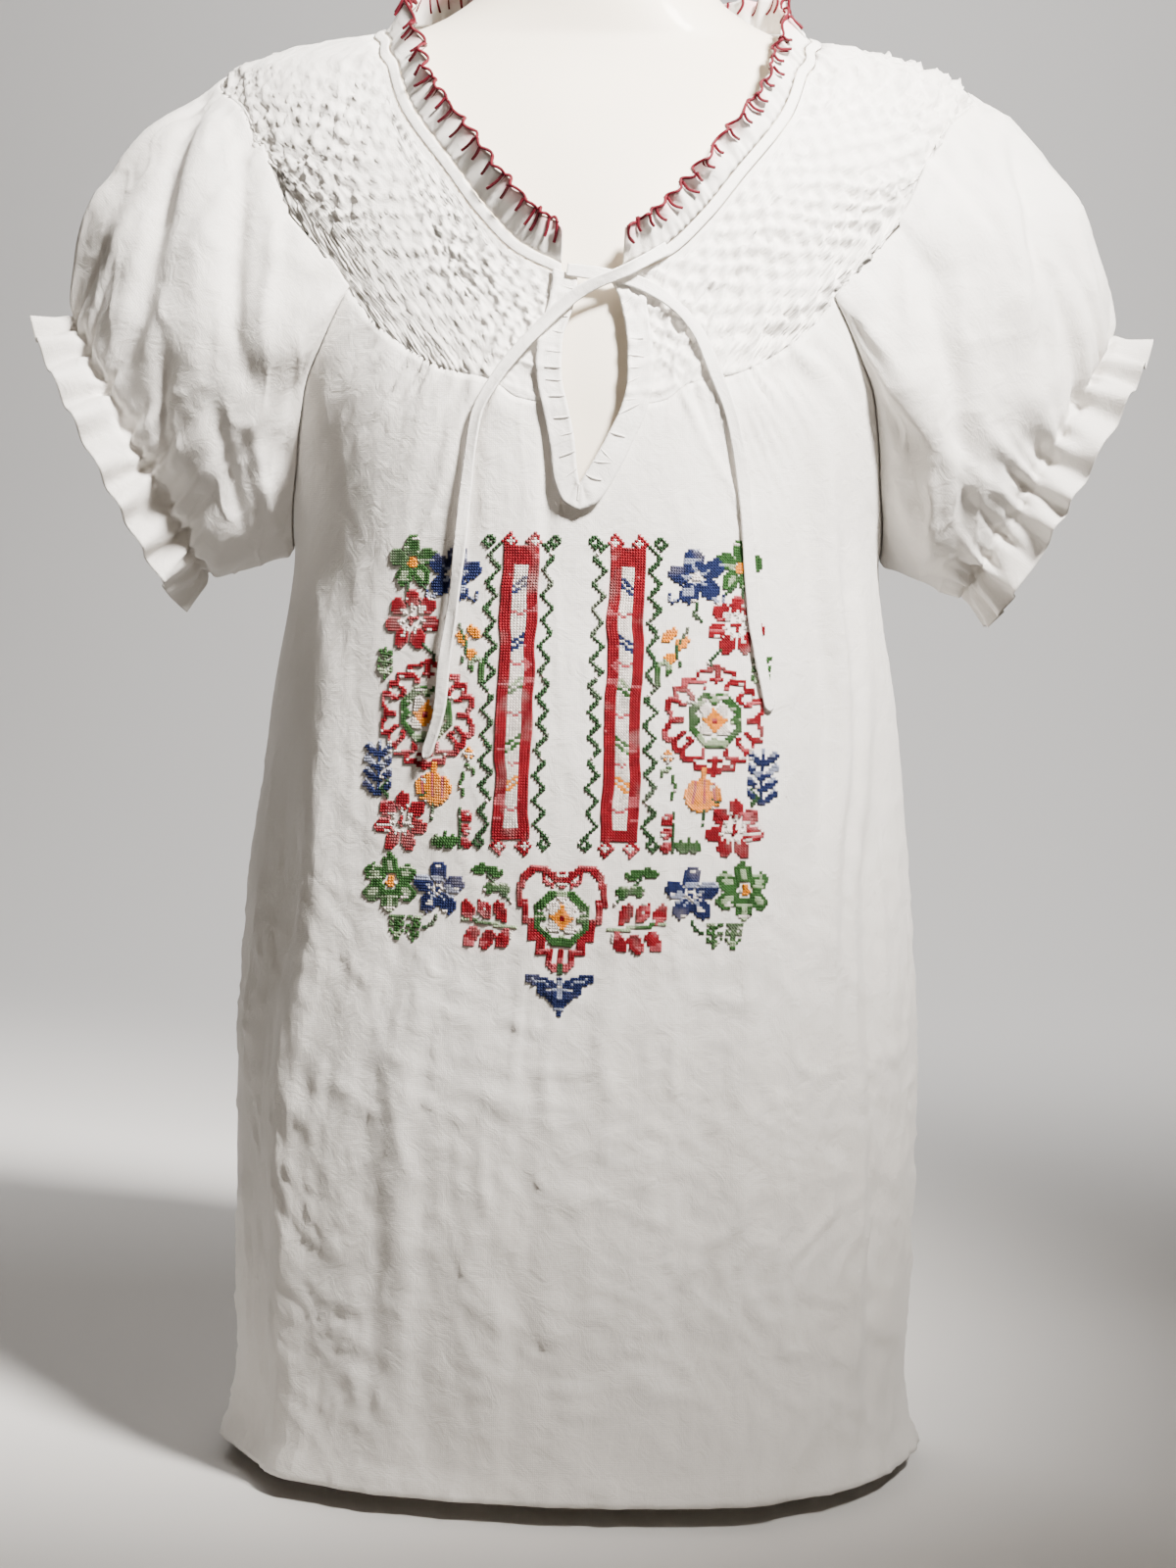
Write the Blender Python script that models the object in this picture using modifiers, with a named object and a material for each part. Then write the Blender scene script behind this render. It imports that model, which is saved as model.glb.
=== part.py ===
"""Peasant blouse with a smocked yoke and short puffed sleeves, worn by a plain limbless dress form.

Metres, +Z up. The origin is the middle of the form's flat base, the front faces -Y and +X is the
blouse's right-hand side as seen from the front. Every cloth piece is an open surface worked out
from the body's sections, then given its wall by Solidify.
"""

import math

import bmesh
import bpy
from mathutils import Vector

# Cloth and seams.
CLOTH = 0.0012  # wall of every cut piece
TRIM_WALL = 0.0009  # casing, neck ruffle and keyhole band
SEAM = 0.0005  # each piece stops this far from the seam line
COLUMNS = {"front": 13, "back": 11}  # across half of each panel
EDGE_PULL = 2.2  # higher keeps a row's bend towards the panel's edge nearer that edge
OPENING_REACH = 0.45  # share of the half front that the keyhole pushes aside
FORM_INSET = 0.0026  # of the form's shoulders from the cloth's inner face, which seats its facets
FORM_DROP = 0.0036  # and down

# Heights on the middle of the front and back, and where the side seam, armhole and neck meet.
HEM = 0.010
FRONT_RISE = {"underarm": 0.400, "yoke": 0.503, "shoulder": 0.538, "neck": 0.563}
BACK_RISE = {"underarm": 0.430, "yoke": 0.622, "shoulder": 0.675, "neck": 0.704}
UNDERARM = 0.443
SHOULDER = 0.670
NECK_SIDE = 0.691

# Horizontal sections of the hanging cloth. Squareness 2 is an ellipse, more is fuller at the corners.
SECTION = ("height", "half_width", "front", "back", "squareness")
CLOTH_SECTIONS = [
    (0.010, 0.1700, 0.1310, 0.1290, 2.30),
    (0.026, 0.1665, 0.1285, 0.1265, 2.30),
    (0.060, 0.1645, 0.1270, 0.1250, 2.30),
    (0.190, 0.1660, 0.1265, 0.1220, 2.25),
    (0.290, 0.1595, 0.1250, 0.1150, 2.20),
    (0.370, 0.1520, 0.1240, 0.1080, 2.15),
    (0.443, 0.1425, 0.1240, 0.1020, 2.10),
    (0.500, 0.1530, 0.1200, 0.1000, 2.05),
    (0.560, 0.1740, 0.1055, 0.0990, 2.00),
    (0.600, 0.1850, 0.0945, 0.0960, 2.00),
    (0.629, 0.1880, 0.0825, 0.0920, 2.00),
    (0.650, 0.1870, 0.0700, 0.0880, 2.00),
    (0.670, 0.1800, 0.0560, 0.0830, 2.00),
    (0.682, 0.1500, 0.0500, 0.0780, 2.00),
    (0.691, 0.1085, 0.0475, 0.0735, 2.00),
    (0.706, 0.0960, 0.0470, 0.0710, 2.00),
]

# The form below the bust and above the shoulders. Between them it follows the cloth from inside.
FORM_LOW = [
    (0.000, 0.1200, 0.0800, 0.0850, 2.20),
    (0.050, 0.1340, 0.0910, 0.0950, 2.20),
    (0.110, 0.1480, 0.1000, 0.1030, 2.20),
    (0.180, 0.1430, 0.0960, 0.0990, 2.15),
    (0.260, 0.1130, 0.0790, 0.0800, 2.10),
    (0.330, 0.1150, 0.0850, 0.0800, 2.10),
    (0.400, 0.1270, 0.1020, 0.0850, 2.10),
    (0.455, 0.1330, 0.1150, 0.0890, 2.05),
    (0.505, 0.1480, 0.1120, 0.0920, 2.00),
]
FORM_NECK = [
    (0.6995, 0.0740, 0.0440, 0.0610, 2.00),
    (0.7130, 0.0580, 0.0440, 0.0560, 2.00),
    (0.7350, 0.0545, 0.0460, 0.0520, 2.00),
    (0.7550, 0.0540, 0.0480, 0.0500, 2.00),
]
CAP_RINGS = [(0.86, 0.7585), (0.45, 0.760)]  # share of the neck's outline, height
CAP_STEP = 0.002
FORM_SIDES = 32
FORM_LEVELS = 26
FORM_FOLLOWS = (0.540, 0.692)  # heights of the cloth sections that the form follows

# Outlines on the front, from the middle outwards: distance from the middle, height.
NECK_FRONT = [
    (0.0070, 0.563),
    (0.0310, 0.574),
    (0.0495, 0.5915),
    (0.0680, 0.615),
    (0.0885, 0.642),
    (0.0990, 0.668),
    (0.1035, 0.680),
    (0.1060, 0.6865),
    (0.1074, 0.6900),
]
YOKE_FRONT = [
    (0.0000, 0.503),
    (0.0297, 0.507),
    (0.0437, 0.515),
    (0.0647, 0.520),
    (0.0824, 0.5295),
    (0.1008, 0.5445),
    (0.1120, 0.5595),
]
NECK_BACK = [(0.0, 0.704), (0.045, 0.7035), (0.075, 0.7015), (0.098, 0.6965)]
YOKE_BACK = [(0.0, 0.622), (0.050, 0.617), (0.095, 0.603), (0.137, 0.580)]

# Armholes, from just above the underarm to just below the shoulder: distance from the middle, height.
ARMHOLE_FRONT = {
    "below": [(0.1385, 0.475), (0.1353, 0.501), (0.1323, 0.5176), (0.1250, 0.5340)],
    "above": [(0.1258, 0.5786), (0.1437, 0.600), (0.1570, 0.629), (0.1690, 0.652)],
}
ARMHOLE_BACK = {
    "below": [(0.1400, 0.475), (0.1390, 0.510), (0.1380, 0.545)],
    "above": [(0.1400, 0.605), (0.1520, 0.632), (0.1660, 0.654)],
}

# The keyhole: its edge, then the outer edge of the turned band round it.
KEYHOLE = ("edge_x", "edge_z", "band_x", "band_z")
KEYHOLE_ROWS = [
    (0.0000, 0.4676, 0.0000, 0.4566),
    (0.0012, 0.4710, 0.0070, 0.4600),
    (0.0030, 0.4760, 0.0125, 0.4690),
    (0.0072, 0.4890, 0.0178, 0.4850),
    (0.0125, 0.5050, 0.0235, 0.5040),
    (0.0145, 0.5140, 0.0255, 0.5140),
    (0.0148, 0.5230, 0.0260, 0.5230),
    (0.0146, 0.5320, 0.0254, 0.5330),
    (0.0112, 0.5475, 0.0220, 0.5495),
    (0.0090, 0.5560, 0.0200, 0.5585),
    (0.0070, 0.5622, 0.0180, 0.5662),
]
BAND_LIFT = 0.0004

# Neck trim.
CASING_WIDTH = 0.005
RUFFLE_WIDTH = 0.0165
RUFFLE_LEAN = math.radians(32)  # how far the ruffle turns out from the body
FLUTES = 24  # on each half of the neck
FLUTE_DEPTH = 0.0024
ENDS_UPRIGHT = 3  # columns over which the trim's front ends turn to stand straight up
NEAR = 0.02  # step used to find directions along the neckline and the cloth

# The largest folds of the body: angle from the side, width, depth, lowest and highest point.
FOLD = ("angle", "width", "depth", "low", "high")
FRONT_FOLDS = [
    (-12, 13, -0.0040, 0.02, 0.42),
    (-31, 10, 0.0030, 0.10, 0.50),
    (-43, 9, -0.0032, 0.05, 0.52),
    (-57, 10, 0.0028, 0.03, 0.46),
    (-74, 9, -0.0020, 0.02, 0.30),
]
BACK_FOLDS = [
    (15, 12, -0.0040, 0.02, 0.46),
    (34, 11, 0.0034, 0.04, 0.55),
    (52, 10, -0.0036, 0.02, 0.58),
    (70, 10, 0.0030, 0.02, 0.56),
    (90, 9, -0.0030, 0.02, 0.52),
]

# Sleeve: the elastic's slanting ellipse, the puff between it and the armhole, and the cuff's ruffle.
CUFF_MIDDLE = Vector((0.2170, -0.005, 0.4905))
CUFF_UP = Vector((0.475, 0.0, 0.88)).normalized()
CUFF_OUT = Vector((0.88, 0.0, -0.475)).normalized()
CUFF_HALF_LENGTH = 0.070
CUFF_HALF_WIDTH = 0.034
SLEEVE_START = (0.0008, 0.0014)  # off the armhole's edge: along the panel, and out from it
BODY_MIDDLE = Vector((0.06, 0.0, 0.50))  # inside the body, to tell which way is out
PUFF = {"top": 0.019, "front": 0.017, "back": 0.017, "bottom": 0.003}
SLEEVE_FOLDS = 7
SLEEVE_FOLD_DEPTH = 0.0035
CUFF_RUFFLE = 0.020
CUFF_FLARE = 0.007
CUFF_FLUTES = 16
CUFF_FLUTE_DEPTH = 0.0022

# Ties, from the neck down: distance from the middle, height and how far the tape's middle stands
# off the front. Each comes out of the casing on the other side of the opening.
TIE_RADIUS = 0.002
TIE_LEFT = [
    (0.0330, 0.5770, 0.0028),
    (0.0155, 0.5660, 0.0088),
    (-0.0034, 0.5560, 0.0078),
    (-0.0233, 0.5370, 0.0048),
    (-0.0413, 0.5145, 0.0032),
    (-0.0493, 0.4980, 0.0030),
    (-0.0529, 0.4680, 0.0030),
    (-0.0549, 0.4425, 0.0032),
    (-0.0581, 0.4079, 0.0034),
    (-0.0611, 0.3856, 0.0034),
    (-0.0625, 0.3672, 0.0034),
    (-0.0686, 0.3440, 0.0034),
]
TIE_RIGHT = [
    (-0.0110, 0.5655, 0.0037),
    (0.0020, 0.5640, 0.0037),
    (0.0180, 0.5610, 0.0038),
    (0.0370, 0.5500, 0.0034),
    (0.0474, 0.5377, 0.0032),
    (0.0542, 0.5223, 0.0030),
    (0.0629, 0.5000, 0.0030),
    (0.0676, 0.4765, 0.0030),
    (0.0706, 0.4508, 0.0030),
    (0.0718, 0.4351, 0.0032),
    (0.0741, 0.4127, 0.0034),
    (0.0775, 0.3930, 0.0034),
    (0.0829, 0.3689, 0.0034),
]
TIE_POINTS = 40


def smooth_row(table, key):
    """The table's row at key, each column following a smooth curve that never overshoots its rows."""
    keys = [row[0] for row in table]
    if key <= keys[0]:
        return table[0]
    if key >= keys[-1]:
        return table[-1]
    i = max(n for n, start in enumerate(keys) if start <= key)
    i = min(i, len(keys) - 2)
    step = keys[i + 1] - keys[i]
    t = (key - keys[i]) / step

    def rate(column, n):
        if n == 0 or n == len(keys) - 1:
            n = 1 if n == 0 else n
            return (table[n][column] - table[n - 1][column]) / (keys[n] - keys[n - 1])
        before = (table[n][column] - table[n - 1][column]) / (keys[n] - keys[n - 1])
        after = (table[n + 1][column] - table[n][column]) / (keys[n + 1] - keys[n])
        return 0.0 if before * after <= 0 else 2 * before * after / (before + after)

    found = []
    for column in range(len(table[0])):
        a, b = table[i][column], table[i + 1][column]
        found.append(
            a * (1 + 2 * t) * (1 - t) ** 2
            + b * t * t * (3 - 2 * t)
            + step * t * (1 - t) ** 2 * rate(column, i)
            + step * t * t * (t - 1) * rate(column, i + 1)
        )
    return tuple(found)


def along(points, t):
    """The point at t, 0 to 1, of a smooth curve through points, by length."""
    marks = [0.0]
    for a, b in zip(points, points[1:]):
        marks.append(marks[-1] + math.dist(a, b))
    return smooth_row([(m / marks[-1], *p) for m, p in zip(marks, points)], t)[1:]


def fold_offset(folds, angle, height):
    """How far the largest folds move the cloth out at this angle and height."""
    total = 0.0
    for row in folds:
        fold = dict(zip(FOLD, row))
        across = (math.degrees(angle) - fold["angle"]) / fold["width"]
        up = (height - fold["low"]) / (fold["high"] - fold["low"])
        if abs(across) < 2 and up < 1:
            fade = math.sin(math.pi / 2 * min(1.0, 1.25 * (1 - up)))
            total += fold["depth"] * fade * math.exp(-across * across * 1.6)
    return total


def body_point(angle, height, out=0.0, sections=CLOTH_SECTIONS, folds=True):
    """A point of the body's surface. The angle is 0 at the side, -90 degrees at the front."""
    row = dict(zip(SECTION, smooth_row(sections, height)))
    depth = row["front"] if angle < 0 else row["back"]
    power = 2 / row["squareness"]
    x = row["half_width"] * abs(math.cos(angle)) ** power
    y = math.copysign(depth * abs(math.sin(angle)) ** power, angle)
    if folds:
        out += fold_offset(FRONT_FOLDS if angle < 0 else BACK_FOLDS, angle, height)
    away = Vector((x, y, 0.0)).normalized()
    return Vector((x, y, height)) + away * out


def angle_at(x, height, side):
    """The angle where the section at this height is x from the middle: side -1 is the front."""
    row = dict(zip(SECTION, smooth_row(CLOTH_SECTIONS, height)))
    share = min(1.0, abs(x) / row["half_width"])
    return side * math.acos(share ** (row["squareness"] / 2))


def spread(outline, side):
    """An outline of distances and heights, as angles and heights."""
    return [(angle_at(x, z, side), z) for x, z in outline]


def mix(a, b, t):
    return tuple(p + (q - p) * t for p, q in zip(a, b))


class Panel:
    """The front or the back as rows from its middle to its edge: side seam, armhole, shoulder."""

    def __init__(self, side, rise, neck, yoke, armhole, rows):
        self.side = side
        self.rise = rise
        self.rows = rows
        self.hem = [(side * math.pi / 2, HEM), (side * math.pi / 4, HEM), (0.0, HEM)]
        self.yoke = spread(yoke, side)
        self.neck = spread(neck, side) + [(0.0, NECK_SIDE)]
        corner = self.yoke[-1]
        self.edges = [
            [(0.0, HEM), (0.0, UNDERARM)],
            [(0.0, UNDERARM), *spread(armhole["below"], side), corner],
            [corner, *spread(armhole["above"], side), (0.0, SHOULDER)],
            [(0.0, SHOULDER), (0.0, NECK_SIDE)],
        ]
        self.levels = [HEM, *(rise[k] for k in ("underarm", "yoke", "shoulder", "neck"))]

    def row(self, v):
        """For v from 0 at the hem to 1 at the neck: the middle's height and the edge's point."""
        place = v * sum(self.rows)
        part = 0
        while part < len(self.rows) - 1 and place > self.rows[part]:
            place -= self.rows[part]
            part += 1
        t = place / self.rows[part]
        middle = self.levels[part] + (self.levels[part + 1] - self.levels[part]) * t
        return middle, along(self.edges[part], t)

    def at(self, u, v):
        """Angle and height at u, 0 in the middle to 1 at the edge, and v, 0 at the hem."""
        middle, edge = self.row(v)
        if middle <= self.rise["yoke"]:
            low, high = self.hem, self.yoke
            share = (middle - HEM) / (self.rise["yoke"] - HEM)
        else:
            low, high = self.yoke, self.neck
            share = (middle - self.rise["yoke"]) / (self.rise["neck"] - self.rise["yoke"])
        plain = mix(along(low, u), along(high, u), share)
        end = mix(low[-1], high[-1], share)
        angle, height = (p + (e - q) * u**EDGE_PULL for p, e, q in zip(plain, edge, end))
        return angle, height

    def point(self, u, v, out=0.0):
        angle, height = self.at(u, v)
        opening = keyhole_half_width(height) if self.side < 0 else 0.0
        point = body_point(angle, height, out)
        if opening:
            # The opening pushes the nearest cloth aside and leaves the rest where it is.
            shift = opening * max(0.0, 1 - u / OPENING_REACH) ** 1.5
            point = front_point(max(point.x, 0.0) + shift, height, out)
        point.y = self.side * max(SEAM, self.side * point.y)
        return point

    def armhole(self, t):
        """The sleeve's start, t from 0 at the underarm to 1 at the shoulder, just clear of the edge."""
        place = t * (self.rows[1] + self.rows[2])
        below = min(math.floor(place), self.rows[1] + self.rows[2] - 1)
        levels = [(self.rows[0] + n) / sum(self.rows) for n in (below, below + 1)]
        a, b = (self.point(1.0, v) for v in levels)
        c, d = (self.point(1.0 - NEAR, v) for v in levels)
        edge = a.lerp(b, place - below)
        away = edge - c.lerp(d, place - below)
        out = away.cross(b - a).normalized()
        if out.dot(edge - BODY_MIDDLE) < 0:
            out = -out
        away = (away - (b - a) * away.dot(b - a) / (b - a).length_squared).normalized()
        return edge + away * SLEEVE_START[0] + out * SLEEVE_START[1]


def front_point(x, height, out=0.0):
    """A point of the front's outer face, x from the middle."""
    point = body_point(angle_at(x, height, -1), height, out)
    point.x = math.copysign(point.x, x)
    return point


def keyhole_half_width(height):
    edge = [(row[1], row[0]) for row in KEYHOLE_ROWS]
    return smooth_row(edge, height)[1] if height > edge[0][0] else 0.0


FRONT = Panel(-1, FRONT_RISE, NECK_FRONT, YOKE_FRONT, ARMHOLE_FRONT, (11, 3, 5, 3))
BACK = Panel(1, BACK_RISE, NECK_BACK, YOKE_BACK, ARMHOLE_BACK, (9, 3, 5, 2))


def neck_frame(n):
    """At the nth column of half the neckline, from the front's middle: point, inwards, outwards."""
    across, level = COLUMNS["front"], 1.0
    front = n <= across
    panel, u = (FRONT, n / across) if front else (BACK, 1 - (n - across) / COLUMNS["back"])
    turn = NEAR if front else -NEAR
    point = panel.point(u, level)
    forward = panel.point(min(1.0, u + abs(turn)), level) - panel.point(max(0.0, u - abs(turn)), level)
    forward = forward.normalized() * (1 if front else -1)
    if u == 0.0 and not front:
        forward = Vector((-1.0, 0.0, 0.0))
    if n == across:
        forward = Vector((0.0, 1.0, 0.0))
    inwards = point - panel.point(u, level - NEAR)
    inwards = (inwards - forward * inwards.dot(forward)).normalized()
    inwards.x *= min(1.0, n / ENDS_UPRIGHT)
    inwards.normalize()
    return point, inwards, forward.cross(inwards).normalized()


def neck_at(t):
    """The frame at t, 0 to 1 along half the neckline, straight between the panels' columns."""
    place = t * (len(neck_frames) - 1)
    below = min(math.floor(place), len(neck_frames) - 2)
    pairs = zip(neck_frames[below], neck_frames[below + 1])
    return [a.lerp(b, place - below) for a, b in pairs]


def make_sheet(
    name, columns, rows, place, wall, material, flip=False, mirror=False, tube=False, grow=-1
):
    """A grid moved to place(u, v) and given its wall, inwards unless grow is 1."""
    bm = bmesh.new()
    bmesh.ops.create_grid(bm, x_segments=columns, y_segments=rows, size=0.5)
    for vert in bm.verts:
        vert.co = place(vert.co.x + 0.5, vert.co.y + 0.5)
    if tube:
        bmesh.ops.remove_doubles(bm, verts=bm.verts[:], dist=1e-5)
    if flip:
        bmesh.ops.reverse_faces(bm, faces=bm.faces[:])
    mesh = bpy.data.meshes.new(name)
    bm.to_mesh(mesh)
    bm.free()
    obj = bpy.data.objects.new(name, mesh)
    obj.data.materials.append(material)
    collection.objects.link(obj)
    if mirror:
        modifier = obj.modifiers.new("halves", "MIRROR")
        modifier.use_axis = (True, False, False)
        modifier.merge_threshold = 0.0001
    modifier = obj.modifiers.new("wall", "SOLIDIFY")
    modifier.thickness = wall
    modifier.offset = grow
    mesh.shade_smooth()
    return obj


def make_panels(material):
    make_sheet("front", COLUMNS["front"], sum(FRONT.rows), FRONT.point, CLOTH, material, mirror=True)
    make_sheet("back", COLUMNS["back"], sum(BACK.rows), BACK.point, CLOTH, material, flip=True, mirror=True)


def make_casing(material):
    def place(u, v):
        point, inwards, _ = neck_at(u)
        return point + inwards * (SEAM + v * CASING_WIDTH)

    make_sheet("neck_casing", len(neck_frames) - 1, 1, place, TRIM_WALL, material, mirror=True)


def make_neck_ruffle(material):
    def place(u, v):
        point, inwards, outwards = neck_at(u)
        rise = inwards * math.cos(RUFFLE_LEAN) + outwards * math.sin(RUFFLE_LEAN)
        wave = math.sin(2 * math.pi * FLUTES * u) * FLUTE_DEPTH * v
        start = point + inwards * (2 * SEAM + CASING_WIDTH)
        return start + rise * RUFFLE_WIDTH * v + outwards * wave

    make_sheet("neck_ruffle", 4 * FLUTES, 1, place, TRIM_WALL, material, mirror=True)


def make_keyhole_band(material):
    rows = [(n / (len(KEYHOLE_ROWS) - 1), *row) for n, row in enumerate(KEYHOLE_ROWS)]

    def place(u, v):
        row = dict(zip(KEYHOLE, smooth_row(rows, u)[1:]))
        x = row["edge_x"] + (row["band_x"] - row["edge_x"]) * v
        z = row["edge_z"] + (row["band_z"] - row["edge_z"]) * v
        neck = neckline_height(x) - SEAM
        return front_point(x, min(z, neck), BAND_LIFT + TRIM_WALL)

    make_sheet("keyhole_band", 14, 2, place, TRIM_WALL, material, flip=True, mirror=True)


def neckline_height(x):
    return smooth_row(NECK_FRONT, x)[1]


def make_sleeve(name, side, material):
    """Armhole to elastic, then the short ruffle past it, all one cut piece."""
    body_rows, ruffle_rows = 9, 2
    rows = body_rows + ruffle_rows

    def armhole(t):
        """t from the underarm up the front, over the shoulder and down the back."""
        if t <= 0.5:
            return FRONT.armhole(2 * t)
        return BACK.armhole(2 - 2 * t)

    def place(u, v):
        turn = 2 * math.pi * u  # 0 at the underside, a quarter turn at the front
        up, front = -math.cos(turn), math.sin(turn)
        start = armhole(u % 1.0)
        if u in (0.0, 0.5, 1.0):
            start.y = 0.0
        cuff = CUFF_MIDDLE + CUFF_UP * CUFF_HALF_LENGTH * up
        cuff.y -= CUFF_HALF_WIDTH * front
        radial = CUFF_UP * up + Vector((0.0, -front, 0.0))
        s = min(1.0, v * rows / body_rows)
        swell = math.sin(math.pi * s) ** 0.85 if 0 < s < 1 else 0.0
        puff = CUFF_OUT * 0.0
        puff += Vector((0.8565, 0.0, 0.516)) * PUFF["top"] * max(0.0, up)
        puff += Vector((0.0, 0.0, -1.0)) * PUFF["bottom"] * max(0.0, -up)
        puff += Vector((0.0, -1.0, 0.0)) * PUFF["front"] * max(0.0, front)
        puff += Vector((0.0, 1.0, 0.0)) * PUFF["back"] * max(0.0, -front)
        fold = math.sin(SLEEVE_FOLDS * turn + 0.6) * SLEEVE_FOLD_DEPTH * swell * abs(math.sin(turn / 2))
        point = start.lerp(cuff, s) + puff * swell + radial * fold
        past = max(0.0, v * rows - body_rows) / ruffle_rows
        wave = math.sin(CUFF_FLUTES * turn) * CUFF_FLUTE_DEPTH * past
        point += CUFF_OUT * CUFF_RUFFLE * past + radial * (CUFF_FLARE * past + wave)
        point.x *= side
        return point

    # The body's walls grow inwards and the sleeve's outwards, so that they stay apart at the armhole.
    make_sheet(name, 2 * CUFF_FLUTES, rows, place, CLOTH, material, flip=side > 0, tube=True, grow=1)


def make_form(material):
    """The form's sections one above the other, closed by its flat base and a low neck cap."""
    inset = CLOTH + FORM_INSET
    followed = [
        (z - FORM_DROP, w - inset, front - inset, back - inset, square)
        for z, w, front, back, square in CLOTH_SECTIONS
        if FORM_FOLLOWS[0] <= z <= FORM_FOLLOWS[1]
    ]
    sections = FORM_LOW + followed + FORM_NECK
    levels, top = FORM_LEVELS, FORM_NECK[-1][0]

    bm = bmesh.new()
    bmesh.ops.create_cone(
        bm, cap_ends=True, segments=FORM_SIDES, radius1=1.0, radius2=1.0, depth=1.0
    )
    upright = [e for e in bm.edges if abs(e.verts[0].co.z - e.verts[1].co.z) > 0.5]
    bmesh.ops.subdivide_edges(bm, edges=upright, cuts=levels - 1, use_grid_fill=True)
    heights = form_heights(sections, levels)
    for vert in bm.verts:
        turn = math.atan2(vert.co.y, vert.co.x)
        height = heights[round((vert.co.z + 0.5) * levels)]
        half = turn if abs(turn) <= math.pi / 2 else math.copysign(math.pi - abs(turn), turn)
        vert.co = body_point(half, height, 0.0, sections, folds=False)
        vert.co.x = math.copysign(vert.co.x, math.cos(turn))
    cap = [f for f in bm.faces if all(v.co.z > top - 1e-6 for v in f.verts)]
    for scale, height in CAP_RINGS:
        bmesh.ops.inset_region(bm, faces=cap, thickness=CAP_STEP)
        for vert in {v for f in cap for v in f.verts}:
            flat = body_point_on_cap(vert, scale, sections, top)
            vert.co = Vector((flat.x, flat.y, height))
    mesh = bpy.data.meshes.new("dress_form")
    bm.to_mesh(mesh)
    bm.free()
    obj = bpy.data.objects.new("dress_form", mesh)
    obj.data.materials.append(material)
    collection.objects.link(obj)
    mesh.shade_smooth()
    mesh.set_sharp_from_angle(angle=math.radians(50))


def body_point_on_cap(vert, scale, sections, top):
    """Where a vertex of the neck cap goes: the rim's outline, made smaller."""
    middle_y = (sections[-1][3] - sections[-1][2]) / 2
    turn = math.atan2(vert.co.y - middle_y, vert.co.x)
    half = turn if abs(turn) <= math.pi / 2 else math.copysign(math.pi - abs(turn), turn)
    rim = body_point(half, top, 0.0, sections, folds=False)
    return Vector((math.copysign(rim.x, math.cos(turn)) * scale, rim.y * scale, top))


def form_heights(sections, levels):
    """Levels from the base to the neck, closer together where the shoulders turn over."""
    marks = [
        (0.0, 0.0),
        (0.30, 0.260),
        (0.50, 0.455),
        (0.64, 0.590),
        (0.76, 0.655),
        (0.84, 0.678),
        (0.90, 0.692),
        (0.95, 0.713),
        (1.0, sections[-1][0]),
    ]
    return [smooth_row(marks, n / levels)[1] for n in range(levels + 1)]


def make_tie(name, route, material):
    """A tape's plain round solid, on a smooth curve through its route."""
    points = [tuple(front_point(x, z, lift)) for x, z, lift in route]
    curve = bpy.data.curves.new(name, "CURVE")
    curve.dimensions = "3D"
    curve.bevel_depth = TIE_RADIUS
    curve.bevel_resolution = 2
    curve.use_fill_caps = True
    spline = curve.splines.new("POLY")
    spline.points.add(TIE_POINTS - 1)
    for n, point in enumerate(spline.points):
        point.co = (*along(points, n / (TIE_POINTS - 1)), 1.0)
    curve.materials.append(material)
    collection.objects.link(bpy.data.objects.new(name, curve))


def make_material(name, colour, roughness):
    material = bpy.data.materials.new(name)
    material.use_nodes = True
    shader = material.node_tree.nodes["Principled BSDF"]
    shader.inputs["Base Color"].default_value = (*colour, 1.0)
    shader.inputs["Roughness"].default_value = roughness
    shader.inputs["Metallic"].default_value = 0.0
    return material


for old in list(bpy.data.objects):
    bpy.data.objects.remove(old, do_unlink=True)
collection = bpy.data.collections.new("peasant_blouse")
bpy.context.scene.collection.children.link(collection)

neck_frames = [neck_frame(n) for n in range(sum(COLUMNS.values()) + 1)]
cotton = make_material("white_cotton", (0.86, 0.85, 0.83), 0.85)
tape = make_material("cotton_tape", (0.90, 0.89, 0.87), 0.80)
plastic = make_material("form_cream", (0.80, 0.74, 0.62), 0.45)

make_form(plastic)
make_panels(cotton)
make_casing(cotton)
make_neck_ruffle(cotton)
make_keyhole_band(cotton)
make_sleeve("sleeve_left", -1, cotton)
make_sleeve("sleeve_right", 1, cotton)
make_tie("tie_left", TIE_LEFT, tape)
make_tie("tie_right", TIE_RIGHT, tape)
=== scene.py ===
import math

import bmesh
import bpy
import numpy as np
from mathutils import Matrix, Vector


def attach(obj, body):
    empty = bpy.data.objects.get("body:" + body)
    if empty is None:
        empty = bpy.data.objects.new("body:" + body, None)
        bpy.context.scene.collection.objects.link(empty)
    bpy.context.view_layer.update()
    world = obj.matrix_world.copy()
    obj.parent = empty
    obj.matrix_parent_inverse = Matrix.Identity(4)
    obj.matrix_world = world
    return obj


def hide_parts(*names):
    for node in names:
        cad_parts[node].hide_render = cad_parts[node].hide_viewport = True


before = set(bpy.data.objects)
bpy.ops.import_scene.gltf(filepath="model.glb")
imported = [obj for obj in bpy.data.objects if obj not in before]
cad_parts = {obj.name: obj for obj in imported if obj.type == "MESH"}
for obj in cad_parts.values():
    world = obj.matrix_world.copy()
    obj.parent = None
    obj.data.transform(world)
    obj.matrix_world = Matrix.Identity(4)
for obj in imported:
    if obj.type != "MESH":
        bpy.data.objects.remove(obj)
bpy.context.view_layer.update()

# Camera and ties come first, then the form, the cloth, its stitches and the studio.

camera = {
    "place": (0.0058, -1.40, 0.379),
    "aim": (0.0030, 0.0, 0.3305),
    "lens": 65.6,
    "roll": 1.25,  # degrees, the blouse leans to the right
}

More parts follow.
